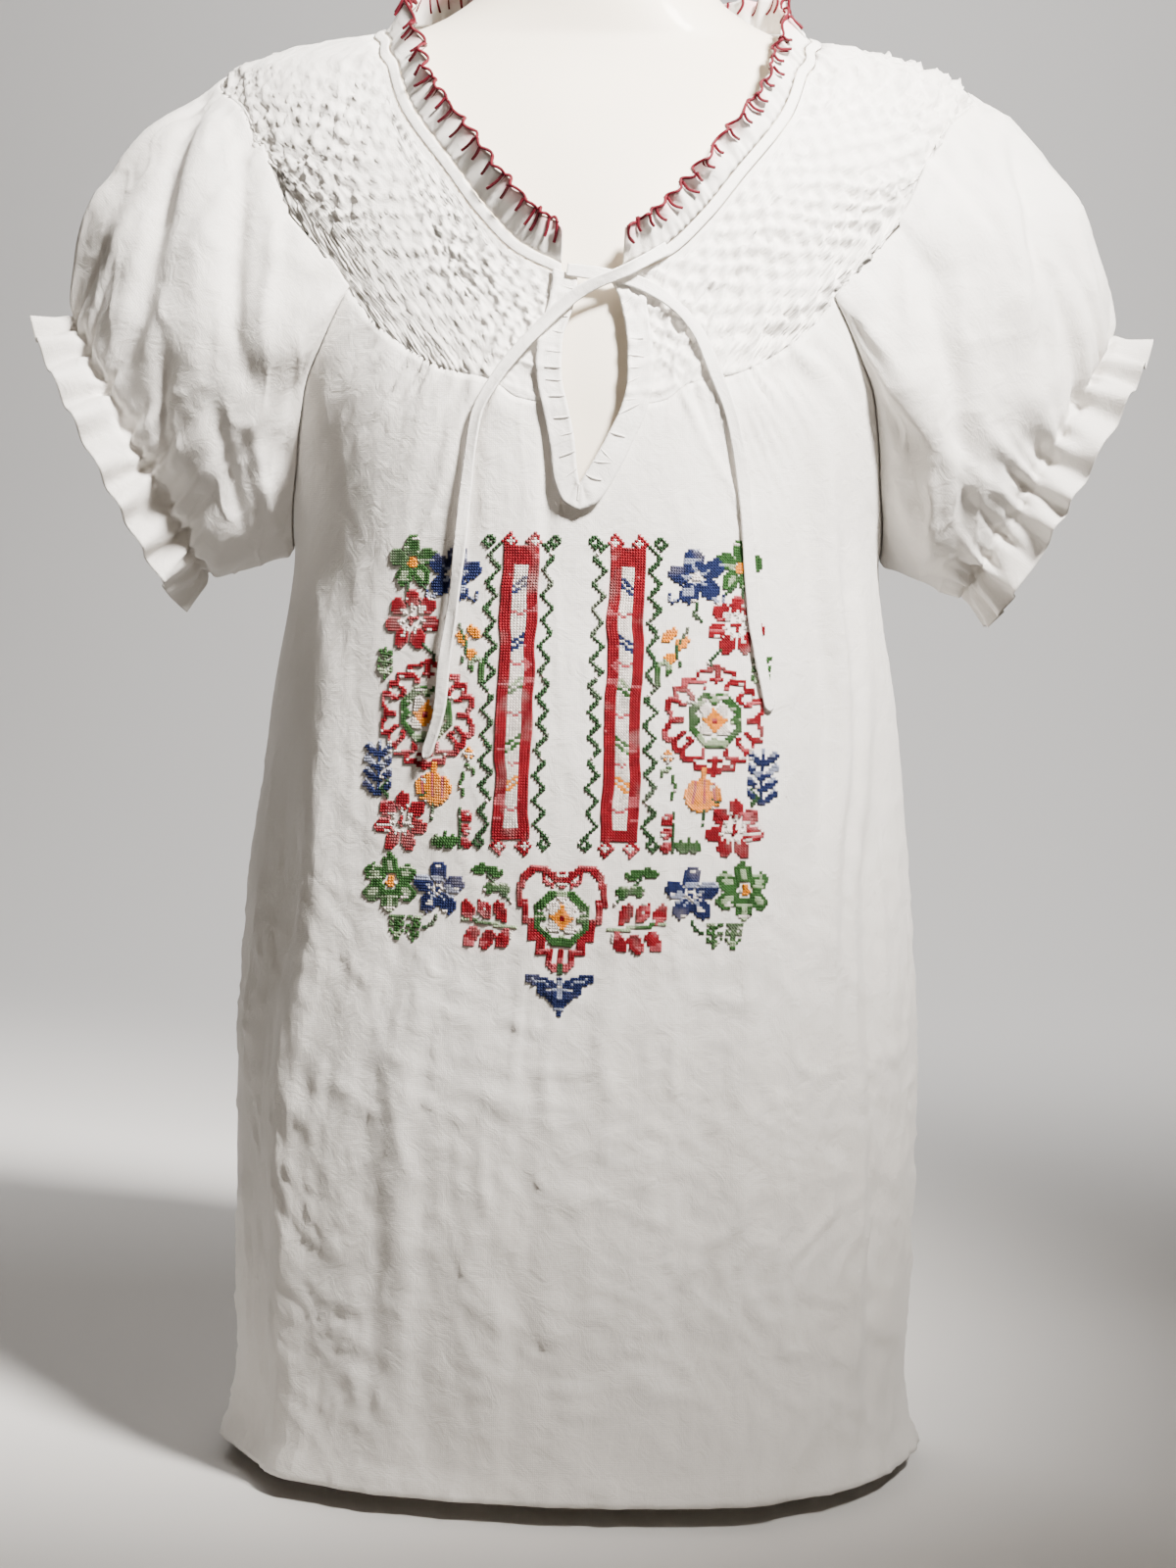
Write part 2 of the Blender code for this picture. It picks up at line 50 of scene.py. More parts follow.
cloth = {
    "wall": 0.0007,
    "hem": 0.010,
    "underarm": 0.443,
    "shoulder": 0.670,
    "neckSide": 0.691,
    "seam": 0.0004,  # half the gap where front and back meet
    "seamFade": 0.035,  # share of a panel's width in which its relief dies out
    "edgePull": 2.2,
    "openingReach": 0.45,
    # height, half width, front, back, squareness
    "sections": [
        (0.010, 0.1700, 0.1310, 0.1290, 2.30),
        (0.026, 0.1665, 0.1285, 0.1265, 2.30),
        (0.060, 0.1645, 0.1270, 0.1250, 2.30),
        (0.190, 0.1660, 0.1265, 0.1220, 2.25),
        (0.290, 0.1595, 0.1250, 0.1150, 2.20),
        (0.370, 0.1520, 0.1240, 0.1080, 2.15),
        (0.443, 0.1425, 0.1240, 0.1020, 2.10),
        (0.500, 0.1530, 0.1200, 0.1000, 2.05),
        (0.560, 0.1740, 0.1055, 0.0990, 2.00),
        (0.600, 0.1850, 0.0945, 0.0960, 2.00),
        (0.629, 0.1880, 0.0825, 0.0920, 2.00),
        (0.650, 0.1870, 0.0700, 0.0880, 2.00),
        (0.670, 0.1800, 0.0560, 0.0830, 2.00),
        (0.682, 0.1500, 0.0500, 0.0780, 2.00),
        (0.691, 0.1085, 0.0475, 0.0735, 2.00),
        (0.706, 0.0960, 0.0470, 0.0710, 2.00),
    ],
}

# Fixed numbers that scatter the noise.
hashing = {
    "axes": np.array([73856093, 19349663, 83492791]),
    "seed": 2654435,
    "mix": (1597334677, 2246822519),
    "reach": 1.6,  # brings the highest values to about 1
}


# Columns of a table at each key, on curves that never overshoot its rows.
def smoothTable(rows, keys):
    table = np.array(rows, float)
    marks, values = table[:, 0], table[:, 1:]
    steps = np.diff(marks)[:, None]
    slopes = np.diff(values, axis=0) / steps
    rates = np.zeros_like(values)
    product = slopes[:-1] * slopes[1:]
    total = np.where(product > 0, slopes[:-1] + slopes[1:], 1.0)
    rates[1:-1] = np.where(product > 0, 2 * product / total, 0.0)
    rates[0], rates[-1] = slopes[0], slopes[-1]
    keys = np.clip(np.asarray(keys, float), marks[0], marks[-1])
    i = np.clip(np.searchsorted(marks, keys, side="right") - 1, 0, len(marks) - 2)
    step = steps[i]
    t = (keys - marks[i])[..., None] / step
    return (
        values[i] * (1 + 2 * t) * (1 - t) ** 2
        + values[i + 1] * t * t * (3 - 2 * t)
        + step * t * (1 - t) ** 2 * rates[i]
        + step * t * t * (t - 1) * rates[i + 1]
    )


# Length along a line of points, at each of them.
def marksAlong(line):
    return np.concatenate([[0.0], np.cumsum(np.linalg.norm(np.diff(line, axis=0), axis=1))])


# Points at t, 0 to 1 by length, of a smooth curve through points.
def along(points, t):
    points = np.array(points, float)
    marks = marksAlong(points)
    return smoothTable(np.column_stack([marks / marks[-1], points]), t)


def smoothStep(value, low, high):
    t = np.clip((value - low) / (high - low), 0.0, 1.0)
    return t * t * (3 - 2 * t)


def unit(vectors):
    return vectors / np.maximum(np.linalg.norm(vectors, axis=-1, keepdims=True), 1e-12)


# Smooth random values from -1 to 1, the same each run. Size is the distance between bumps.
def noise(points, size, seed=0, stretch=(1.0, 1.0, 1.0)):
    place = np.asarray(points, float) / (np.array(stretch) * size) + 100.0
    cell = np.floor(place).astype(np.int64)
    t = place - cell
    t = t * t * t * (t * (t * 6 - 15) + 10)
    total = np.zeros(place.shape[:-1])
    for corner in range(8):
        step = np.array([corner & 1, corner >> 1 & 1, corner >> 2 & 1])
        mixed = np.bitwise_xor.reduce((cell + step) * hashing["axes"], axis=-1)
        mixed = mixed ^ (seed + 7) * hashing["seed"]
        mixed = (mixed & 0xFFFFFF) * hashing["mix"][0] & 0xFFFFFFFF
        mixed = (mixed ^ mixed >> 15) * hashing["mix"][1] & 0xFFFFFFFF
        value = ((mixed ^ mixed >> 13) & 0xFFFF) / 32767.5 - 1
        total += value * np.prod(np.where(step == 1, t, 1 - t), axis=-1)
    return total * hashing["reach"]


# The same along a line, where row keeps lines apart.
def lineNoise(length, row, size, seed):
    return noise(np.stack([length, 0 * length + row, 0 * length], -1), size, seed)


# Sharp creases between soft fields, 0 to 1.
def creases(points, size, seed=0, stretch=(1.0, 1.0, 1.0), sharp=3.0):
    return np.clip(1 - np.abs(noise(points, size, seed, stretch)), 0, 1) ** sharp


# Angle 0 is the side, -90 degrees the front. Points are on the side where x is positive.
def bodyPoints(angle, height, sections=cloth["sections"]):
    width, front, back, square = np.moveaxis(smoothTable(sections, height), -1, 0)
    depth = np.where(angle < 0, front, back)
    x = width * np.abs(np.cos(angle)) ** (2 / square)
    y = np.copysign(depth * np.abs(np.sin(angle)) ** (2 / square), angle)
    return np.stack([x, y, height], -1)


def bodyNormals(angle, height, sections=cloth["sections"]):
    turn, rise = 0.012, 0.0012
    a, b = np.maximum(angle - turn, -math.pi / 2), np.minimum(angle + turn, math.pi / 2)
    around = bodyPoints(b, height, sections) - bodyPoints(a, height, sections)
    up = bodyPoints(angle, height + rise, sections) - bodyPoints(angle, height - rise, sections)
    return unit(np.cross(around, up))


def angleAt(x, height, side):
    width, front, back, square = np.moveaxis(smoothTable(cloth["sections"], height), -1, 0)
    share = np.minimum(1.0, np.abs(x) / width)
    return side * np.arccos(share ** (square / 2))


def spread(outline, side):
    outline = np.array(outline, float)
    return np.column_stack([angleAt(outline[:, 0], outline[:, 1], side), outline[:, 1]])


# Rows share v between the edge's four stretches: hem, underarm, yoke, shoulder and neck. Levels are
# the middle's heights there. Outlines give distance from the middle and height.
frontPanel = {
    "side": -1,
    "rows": (11, 3, 5, 3),
    "levels": (0.010, 0.400, 0.503, 0.538, 0.563),
    "neck": [
        (0.0070, 0.563),
        (0.0310, 0.574),
        (0.0495, 0.5915),
        (0.0680, 0.615),
        (0.0885, 0.642),
        (0.0990, 0.668),
        (0.1035, 0.680),
        (0.1060, 0.6865),
        (0.1074, 0.6900),
    ],
    "yoke": [
        (0.0000, 0.503),
        (0.0297, 0.507),
        (0.0437, 0.515),
        (0.0647, 0.520),
        (0.0824, 0.5295),
        (0.1008, 0.5445),
        (0.1120, 0.5595),
    ],
    "below": [(0.1385, 0.475), (0.1353, 0.501), (0.1323, 0.5176), (0.1250, 0.5340)],
    "above": [(0.1258, 0.5786), (0.1437, 0.600), (0.1570, 0.629), (0.1690, 0.652)],
    "bodyGrid": (105, 170),
    "yokeGrid": (140, 84),
}

backPanel = {
    "side": 1,
    "rows": (9, 3, 5, 2),
    "levels": (0.010, 0.430, 0.622, 0.675, 0.704),
    "neck": [(0.0, 0.704), (0.045, 0.7035), (0.075, 0.7015), (0.098, 0.6965)],
    "yoke": [(0.0, 0.622), (0.050, 0.617), (0.095, 0.603), (0.137, 0.580)],
    "below": [(0.1400, 0.475), (0.1390, 0.510), (0.1380, 0.545)],
    "above": [(0.1400, 0.605), (0.1520, 0.632), (0.1660, 0.654)],
    "bodyGrid": (76, 120),
    "yokeGrid": (96, 52),
}

# The keyhole: height, half width, how far its middle is off the blouse's.
keyholeRows = [
    (0.4400, 0.0000, -0.0010),
    (0.4676, 0.0000, -0.0034),
    (0.4710, 0.0012, -0.0030),
    (0.4760, 0.0030, -0.0020),
    (0.4890, 0.0072, 0.0008),
    (0.5050, 0.0125, 0.0025),
    (0.5230, 0.0148, 0.0020),
    (0.5320, 0.0146, 0.0020),
    (0.5475, 0.0112, 0.0028),
    (0.5560, 0.0090, 0.0022),
    (0.5630, 0.0070, 0.0000),
]


# Angle and height over a panel, for u from the middle to the edge and v from hem to neck.
def panelMap(panel, u, v, hand):
    side, levels = panel["side"], np.array(panel["levels"])
    hem = np.array([(side * turn, cloth["hem"]) for turn in (math.pi / 2, math.pi / 4, 0.0)])
    yoke = spread(panel["yoke"], side)
    neck = np.vstack([spread(panel["neck"], side), (0.0, cloth["neckSide"])])
    armpit, tip, top = [(0.0, cloth[name]) for name in ("underarm", "shoulder", "neckSide")]
    edges = [
        [(0.0, cloth["hem"]), armpit],
        [armpit, *spread(panel["below"], side), yoke[-1]],
        [yoke[-1], *spread(panel["above"], side), tip],
        [tip, top],
    ]
    starts = np.concatenate([[0], np.cumsum(panel["rows"])])
    place = v * starts[-1]
    part = np.clip(np.searchsorted(starts, place, side="left") - 1, 0, 3)
    t = (place - starts[part]) / np.array(panel["rows"])[part]
    middle = levels[part] + (levels[part + 1] - levels[part]) * t
    edge = np.zeros((len(v), 2))
    for k in range(4):
        edge[part == k] = along(edges[k], t[part == k])
    below = middle <= levels[2]
    low, high = np.where(below, levels[0], levels[2]), np.where(below, levels[2], levels[4])
    share = ((middle - low) / (high - low))[:, None, None]

    def between(a, b, c):
        return np.where(below[:, None, None], a + (b - a) * share, b + (c - b) * share)

    lines = [along(line, u) for line in (hem, yoke, neck)]
    end = between(*[line[-1] for line in lines])
    found = between(*lines) + (edge[:, None] - end) * (u ** cloth["edgePull"])[None, :, None]
    angle, height = found[..., 0], found[..., 1]
    if side < 0:  # the front opens at the keyhole
        half, middleX = np.moveaxis(smoothTable(keyholeRows, height), -1, 0)
        middleX = middleX * smoothStep(height, 0.38, 0.46)
        push = np.maximum(0.0, 1 - u / cloth["openingReach"]) ** 1.5
        x = bodyPoints(angle, height)[..., 0] + (half + hand * middleX) * push
        pushed = angleAt(x, height, -1)
        angle = np.where(push > 0, np.where(x >= 0, pushed, -math.pi - pushed), angle)
    return angle, height


# Points and outward normals where hand is 1 for positive x and -1 for negative.
def surface(angle, height, hand):
    past = angle < -math.pi / 2  # just over the middle line
    folded = np.where(past, -math.pi - angle, angle)
    points, normals = bodyPoints(folded, height), bodyNormals(folded, height)
    side = hand * np.where(past, -1.0, 1.0)
    points[..., 0] *= side
    normals[..., 0] *= side
    return points, normals


# Round half the neck, from the front's middle to the back's, one line for each level.
def roundNeck(count, levels):
    lines = []
    for panel, order in ((frontPanel, 1), (backPanel, -1)):
        angle, height = panelMap(panel, np.linspace(0, 1, count), np.array(levels), 1)
        lines.append(surface(angle, height, 1)[0][:, ::order])
    return np.concatenate([lines[0], lines[1][:, 1:]], axis=1)


neckLine = roundNeck(260, [1.0])[0]
neckMarks = marksAlong(neckLine)
neckRuns = unit(np.gradient(neckLine, axis=0))


# Length along half the neckline, and distance from it, of each point.
def neckPlace(points, batch=20000):
    flat = points.reshape(-1, 3).copy()
    flat[:, 0] = np.abs(flat[:, 0])
    run, far = np.zeros(len(flat)), np.zeros(len(flat))
    for start in range(0, len(flat), batch):
        part = flat[start : start + batch]
        gaps = np.linalg.norm(part[:, None] - neckLine[None, ::2], axis=2)
        near = gaps.argmin(1) * 2
        off = part - neckLine[near]
        slide = np.clip((off * neckRuns[near]).sum(1), -0.003, 0.003)
        run[start : start + batch] = neckMarks[near] + slide
        far[start : start + batch] = np.linalg.norm(off - neckRuns[near] * slide[:, None], axis=1)
    return run.reshape(points.shape[:-1]), far.reshape(points.shape[:-1])


smocking = {
    # pairs are for the -x and +x sides
    "pleat": (0.0058, 0.0052),  # distance between pleats at the neck
    "row": (0.0064, 0.0062),  # between rows of stitches
    "zigzag": (0.16, 0.27),  # how far the pleats lean to each other at each row
    "pucker": (0.30, 0.18),
    "depth": (0.0023, 0.0038),
    "round": 0.30,  # a pleat's half width, of the distance between two
    "sunk": 0.65,  # of a pleat's height, where the cloth's own level is
}

# Long folds: x at the top, x at the bottom, width, depth, lowest and highest point.
frontFolds = [
    (-0.139, -0.154, 0.014, -0.0040, 0.020, 0.455),
    (-0.118, -0.136, 0.011, 0.0026, 0.030, 0.480),
    (-0.082, -0.099, 0.009, -0.0018, 0.020, 0.350),
    (-0.068, -0.082, 0.009, 0.0013, 0.020, 0.300),
    (-0.066, -0.070, 0.007, -0.0013, 0.050, 0.300),
    (-0.020, -0.021, 0.006, -0.0011, 0.080, 0.240),
    (-0.034, -0.040, 0.010, 0.0010, 0.020, 0.210),
    (-0.046, -0.049, 0.005, -0.0022, 0.440, 0.520),
    (-0.016, -0.018, 0.005, -0.0015, 0.440, 0.500),
    (0.060, 0.050, 0.012, -0.0012, 0.030, 0.420),
    (0.088, 0.079, 0.011, 0.0016, 0.100, 0.510),
    (0.098, 0.112, 0.008, -0.0030, 0.300, 0.535),
    (0.108, 0.122, 0.007, 0.0028, 0.260, 0.545),
    (0.118, 0.132, 0.006, -0.0026, 0.200, 0.540),
    (0.128, 0.138, 0.007, 0.0024, 0.060, 0.480),
    (0.136, 0.146, 0.008, -0.0030, 0.020, 0.440),
]
backFolds = [
    (-0.132, -0.146, 0.014, -0.0034, 0.020, 0.470),
    (-0.098, -0.112, 0.012, 0.0026, 0.040, 0.540),
    (-0.070, -0.082, 0.011, -0.0030, 0.020, 0.585),
    (-0.044, -0.050, 0.010, 0.0022, 0.100, 0.590),
    (-0.016, -0.026, 0.012, -0.0028, 0.020, 0.560),
    (0.012, 0.006, 0.010, 0.0020, 0.060, 0.600),
    (0.036, 0.040, 0.010, -0.0026, 0.020, 0.590),
    (0.062, 0.074, 0.012, 0.0026, 0.020, 0.560),
    (0.088, 0.102, 0.011, -0.0030, 0.040, 0.560),
    (0.126, 0.140, 0.013, -0.0032, 0.020, 0.460),
]


def longFolds(points, folds):
    x, z = points[..., 0], points[..., 2]
    drift = noise(points, 0.09, 3) * 0.005
    total = np.zeros_like(x)
    for top, bottom, width, depth, low, high in folds:
        up = (z - low) / (high - low)
        middle = bottom + (top - bottom) * np.clip(up, 0, 1) + drift
        fade = smoothStep(up, -0.25, 0.22) * (1 - smoothStep(up, 0.62, 1.0))
        total += depth * fade * np.exp(-(((x - middle) / width) ** 2) * 1.4)
    return total


# Pleats caught together in turn, which make cells like a honeycomb.
def honeycomb(points, run, far):
    right = smoothStep(points[..., 0], -0.012, 0.012)

    def pick(name):
        left, other = smocking[name]
        return left + (other - left) * right

    across = run / pick("pleat") + 0.14 * noise(points, 0.022, 11) + 0.06 * noise(points, 0.007, 12)
    down = far / pick("row") + 0.28 * noise(points, 0.018, 13)
    nearest = np.floor(across)
    height = np.zeros_like(across)
    for k in (-1, 0, 1, 2):
        pleat = nearest + k
        turn = np.where(pleat % 2 == 0, 1.0, -1.0)
        gap = across - (pleat + pick("zigzag") * turn * np.cos(math.pi * down))
        height += np.exp(-((gap / smocking["round"]) ** 2))
    puckers = np.cos(2 * math.pi * (down * 1.5 + 0.37 * nearest)) * pick("pucker")
    small = noise(points, 0.0026, 14) * 0.20 + noise(points, 0.0045, 15) * 0.16
    uneven = 0.85 + 0.3 * noise(points, 0.03, 16)
    return (height - smocking["sunk"] + puckers * height + small) * pick("depth") * uneven


crumples = {
    # way they run, distance, seed, stretch, sharpness, level, depth, more depth low down, where they lie
    "creases": [
        ("level", 0.024, 22, (0.7, 0.7, 3.2), 4, 0.25, 0.00035, 0.00075, "patches"),
        ("slant", 0.021, 23, (1.5, 1.5, 0.75), 4, 0.25, 0.00010, 0.00100, "between"),
        ("level", 0.017, 24, (1.9, 1.9, 0.8), 5, 0.20, 0.00008, 0.00080, "patches"),
        ("level", 0.0095, 29, (0.75, 0.75, 2.4), 4, 0.25, 0.00028, 0.00022, "everywhere"),
        ("slant", 0.0090, 30, (1.4, 1.4, 0.9), 4, 0.25, 0.0, 0.00045, "everywhere"),
    ],
    # distance, seed, stretch, depth, more depth low down
    "bumps": [
        (0.011, 26, (0.8, 0.8, 1.6), 0.00010, 0.00016),
        (0.0048, 27, (1.0, 1.0, 1.0), 0.00006, 0.0),
    ],
    "sag": 0.0016,
}


def crumple(points):
    z = points[..., 2]
    low = 1 - smoothStep(z, 0.16, 0.40)  # more of it towards the hem
    bent = points + noise(points, 0.05, 21)[..., None] * np.array([0.012, 0.0, 0.012])
    slant = bent.copy()
    slant[..., 2] = bent[..., 2] + 0.7 * bent[..., 0]
    ways = {"level": bent, "slant": slant}
    patches = 0.55 + 0.45 * noise(points, 0.07, 25)
    shares = {"patches": patches, "between": 1.3 - patches, "everywhere": 1.0}
    total = noise(points, 0.085, 28, (0.8, 0.8, 1.8)) * crumples["sag"] * (1 - smoothStep(z, 0.42, 0.52))
    for way, size, seed, stretch, sharp, level, depth, more, where in crumples["creases"]:
        folds = creases(ways[way], size, seed, stretch, sharp) - level
        total += folds * (depth + more * low) * shares[where]
    for size, seed, stretch, depth, more in crumples["bumps"]:
        total += noise(points, size, seed, stretch) * (depth + more * low)
    return total


gathers = {
    "small": {"step": 0.0062, "depth": 0.00135, "reach": 0.016},
    "wide": {"step": 0.0145, "depth": 0.00225, "reach": 0.045},
    "folds": 1.15,  # strength of the long folds and of the crumpling
    "crumples": 1.35,
}

hem = {
    "top": (0.0205, 0.0218),
    "fold": 0.0007,
    "line": 0.0200,
    "lineWidth": 0.0009,
    "lineDepth": 0.0009,
    "stitch": 0.0028,
}


# How far the cloth stands off its plain surface. Edge is 0 on a seam and 1 away from it.
def relief(points, panel, edge=1.0):
    x, z = points[..., 0], points[..., 2]
    run, far = neckPlace(points)
    under = smoothTable(panel["yoke"], np.abs(x))[..., 0] - z  # distance below the yoke
    deep = np.maximum(under, 0)
    smocked = 1 - smoothStep(under, -0.0035, 0.0015)
    folds = longFolds(points, frontFolds if panel["side"] < 0 else backFolds)
    total = (gathers["folds"] * folds + gathers["crumples"] * crumple(points)) * (1 - smocked)

    small, wide = gathers["small"], gathers["wide"]
    pleats = np.cos(2 * math.pi * (run / small["step"] + 0.5 * noise(points, 0.03, 31, (1, 1, 2))))
    pleats *= small["depth"] * np.exp(-deep / small["reach"]) * (0.6 + 0.4 * noise(points, 0.02, 33))
    waves = np.cos(2 * math.pi * (run / wide["step"] + 0.9 * noise(points, 0.05, 32, (1, 1, 2))))
    waves *= wide["depth"] * np.exp(-deep / wide["reach"]) * (0.6 + 0.5 * noise(points, 0.04, 34))
    total += pleats * (1 - smocked) + waves * smoothStep(under, 0, 0.012)
    total += honeycomb(points, run, far) * smocked * smoothStep(far, 0.0, 0.004)

    band = 1 - smoothStep(z, *hem["top"])
    stitches = hem["lineDepth"] * np.exp(-(((z - hem["line"]) / hem["lineWidth"]) ** 2))
    total += band * hem["fold"] - stitches * (0.6 + 0.4 * np.cos(2 * math.pi * x / hem["stitch"]))
    sway = noise(points, 0.055, 35, (1, 1, 9)) * 0.0034 + noise(points, 0.022, 36, (1, 1, 5)) * 0.0012
    total += sway * (1 - smoothStep(z, 0.012, 0.085))
    return total * edge


# A point of the front's outer face, lifted off it, with a share of the cloth's relief.
def onFront(x, z, lift=0.0, share=1.0):
    x, z = np.broadcast_arrays(np.asarray(x, float), np.asarray(z, float))
    angle = angleAt(x, z, -1)
    points, normals = bodyPoints(angle, z), bodyNormals(angle, z)
    sign = np.where(x < 0, -1.0, 1.0)
    points[..., 0] *= sign
    normals[..., 0] *= sign
    lift = np.asarray(lift, float) + share * relief(points, frontPanel)
    return points + normals * lift[..., None], normals


def link(name, mesh):
    piece = bpy.data.objects.new(name, mesh)
    bpy.context.scene.collection.objects.link(piece)
    return piece


# A grid whose vertices go to place(u, v), which gets and gives arrays of rows by columns.
def addGrid(bm, columns, rows, place):
    before = len(bm.verts)
    bmesh.ops.create_grid(bm, x_segments=columns, y_segments=rows, size=0.5)
    bm.verts.ensure_lookup_table()
    new = bm.verts[before:]
    points = place(np.linspace(0, 1, columns + 1), np.linspace(0, 1, rows + 1)).reshape(-1, 3)
    for vert, point in zip(new, points):
        vert.co = point
    return new


def turnOver(bm, verts):
    bmesh.ops.reverse_faces(bm, faces=list({f for vert in verts for f in vert.link_faces}))


# Keeps each vertex's place in the flat cloth, which takeMesh turns into the map "cut".
def markCut(bm, flat):
    layer = bm.verts.layers.float_vector.new("cutPlace")
    for vert, (x, y) in zip(bm.verts, flat):
        vert[layer] = (x, y, 0.0)


def takeMesh(bm, name):
    mesh = bpy.data.meshes.new(name)
    bm.to_mesh(mesh)
    bm.free()
    marked = mesh.attributes.get("cutPlace")
    if marked:
        flat = np.zeros(len(mesh.vertices) * 3, np.float32)
        marked.data.foreach_get("vector", flat)
        mesh.attributes.remove(marked)
        index = np.zeros(len(mesh.loops), np.int32)
        mesh.loops.foreach_get("vertex_index", index)
        layer = mesh.uv_layers.new(name="cut")
        layer.data.foreach_set("uv", flat.reshape(-1, 3)[:, :2][index].ravel())
    return mesh


def addWall(piece, thickness, offset=-1.0):
    modifier = piece.modifiers.new("wall", "SOLIDIFY")
    modifier.thickness = thickness
    modifier.offset = offset
    return piece


def finishPiece(piece, material, slot, *replaced):
    piece.data.materials.clear()
    piece.data.materials.append(material)
    piece.data.shade_smooth()
    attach(piece, "root")
    if replaced:
        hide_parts(*replaced)
    return piece


# How far dye from the red thread has run into each vertex.
def setStain(mesh, values):
    layer = mesh.attributes.new("stain", "FLOAT", "POINT")
    layer.data.foreach_set("value", values.ravel().astype(np.float32))


def newMaterial(name, colour, roughness, **sockets):
    material = bpy.data.materials.new(name)
    material.use_nodes = True
    shader = material.node_tree.nodes["Principled BSDF"]
    shader.inputs["Base Color"].default_value = (*colour, 1.0)
    shader.inputs["Roughness"].default_value = roughness
    for socket, value in sockets.items():
        shader.inputs[socket.replace("_", " ")].default_value = value
    return material, material.node_tree, shader


def addNode(tree, kind, **values):
    node = tree.nodes.new(kind)
    for name, value in values.items():
        if hasattr(node, name):
            setattr(node, name, value)
        else:
            node.inputs[name.replace("_", " ")].default_value = value
    return node


def addTexture(tree, kind, source, **values):
    node = addNode(tree, "ShaderNodeTex" + kind, **values)
    tree.links.new(source, node.inputs["Vector"])
    return node


def addRamp(tree, factor, low, high):
    ramp = addNode(tree, "ShaderNodeValToRGB")
    for element, (position, colour) in zip(ramp.color_ramp.elements, (low, high)):
        element.position = position
        element.color = (*colour, 1.0)
    tree.links.new(factor, ramp.inputs["Fac"])
    return ramp.outputs["Color"]


def addBump(tree, shader, height, distance, strength=1.0, before=None):
    bump = addNode(tree, "ShaderNodeBump", Strength=strength, Distance=distance)
    tree.links.new(height, bump.inputs["Height"])
    if before:
        tree.links.new(before.outputs["Normal"], bump.inputs["Normal"])
    tree.links.new(bump.outputs["Normal"], shader.inputs["Normal"])
    return bump


def mixColour(tree, factor, a, b, blend="MIX"):
    mix = tree.nodes.new("ShaderNodeMix")
    mix.data_type = "RGBA"
    mix.blend_type = blend
    for socket, value in ((0, factor), (6, a), (7, b)):
        if isinstance(value, (tuple, float)):
            mix.inputs[socket].default_value = (*value, 1.0) if isinstance(value, tuple) else value
        else:
            tree.links.new(value, mix.inputs[socket])
    return mix.outputs[2]


# White cotton: plain weave from the cut's own map, slubs, crinkles, and a slightly uneven tone.
def makeCotton(name, colour, shade, stained=False):
    material, tree, shader = newMaterial(
        name, colour, 0.86, Sheen_Weight=0.25, Sheen_Roughness=0.5, Specular_IOR_Level=0.25
    )
    cut = addNode(tree, "ShaderNodeUVMap", uv_map="cut").outputs["UV"]
    where = addNode(tree, "ShaderNodeTexCoord").outputs["Object"]
    weave = addNode(tree, "ShaderNodeMath", operation="MULTIPLY")
    for k, way in enumerate("XY"):
        threads = addTexture(tree, "Wave", cut, bands_direction=way, Scale=330.0, Distortion=1.2, Detail=1.0)
        tree.links.new(threads.outputs["Fac"], weave.inputs[k])
    slub = addTexture(tree, "Noise", where, Scale=420.0, Detail=4.0, Roughness=0.7)
    crinkle = addTexture(tree, "Noise", where, Scale=95.0, Detail=6.0, Roughness=0.62, Distortion=1.4)
    bump = addBump(tree, shader, weave.outputs[0], 0.00010, 0.35)
    bump = addBump(tree, shader, slub.outputs["Fac"], 0.00022, 0.55, bump)
    addBump(tree, shader, crinkle.outputs["Fac"], 0.00110, 0.60, bump)
    tone = addTexture(tree, "Noise", where, Scale=9.0, Detail=5.0, Roughness=0.6)
    result = addRamp(tree, tone.outputs["Fac"], (0.35, shade), (0.68, colour))
    if stained:
        stain = addNode(tree, "ShaderNodeAttribute", attribute_name="stain")
        result = mixColour(tree, stain.outputs["Fac"], result, (0.86, 0.40, 0.44))
    tree.links.new(result, shader.inputs["Base Color"])
    return material


# Spun thread whose tone changes from stitch to stitch.
def makeThread(name, colour, dark, roughness=0.65):
    material, tree, shader = newMaterial(name, colour, roughness, Specular_IOR_Level=0.25)
    where = addNode(tree, "ShaderNodeTexCoord").outputs["Object"]
    tone = addTexture(tree, "Noise", where, Scale=160.0, Detail=3.0)
    fibre = addTexture(tree, "Noise", where, Scale=2600.0, Detail=2.0)
    tree.links.new(mixColour(tree, tone.outputs["Fac"], dark, colour), shader.inputs["Base Color"])
    addBump(tree, shader, fibre.outputs["Fac"], 0.0001, 0.6)
    return material


# Cross stitch: each cross has its own colour, faded in places.
def makeEmbroideryThread():
    material, tree, shader = newMaterial(
        "embroideryThread", (0.5, 0.1, 0.1), 0.70, Specular_IOR_Level=0.2
    )
    colour = addNode(tree, "ShaderNodeAttribute", attribute_name="thread")
    where = addNode(tree, "ShaderNodeTexCoord").outputs["Object"]
    fibre = addTexture(tree, "Noise", where, Scale=1800.0, Detail=2.0)
    fade = addTexture(tree, "Noise", where, Scale=70.0, Detail=4.0)
    faded = addRamp(tree, fade.outputs["Fac"], (0.52, (0.0, 0.0, 0.0)), (0.80, (0.26, 0.26, 0.26)))
    mixed = mixColour(tree, faded, colour.outputs["Color"], (0.78, 0.70, 0.66))
    tree.links.new(mixed, shader.inputs["Base Color"])
    addBump(tree, shader, fibre.outputs["Fac"], 0.0001, 0.6)
    return material


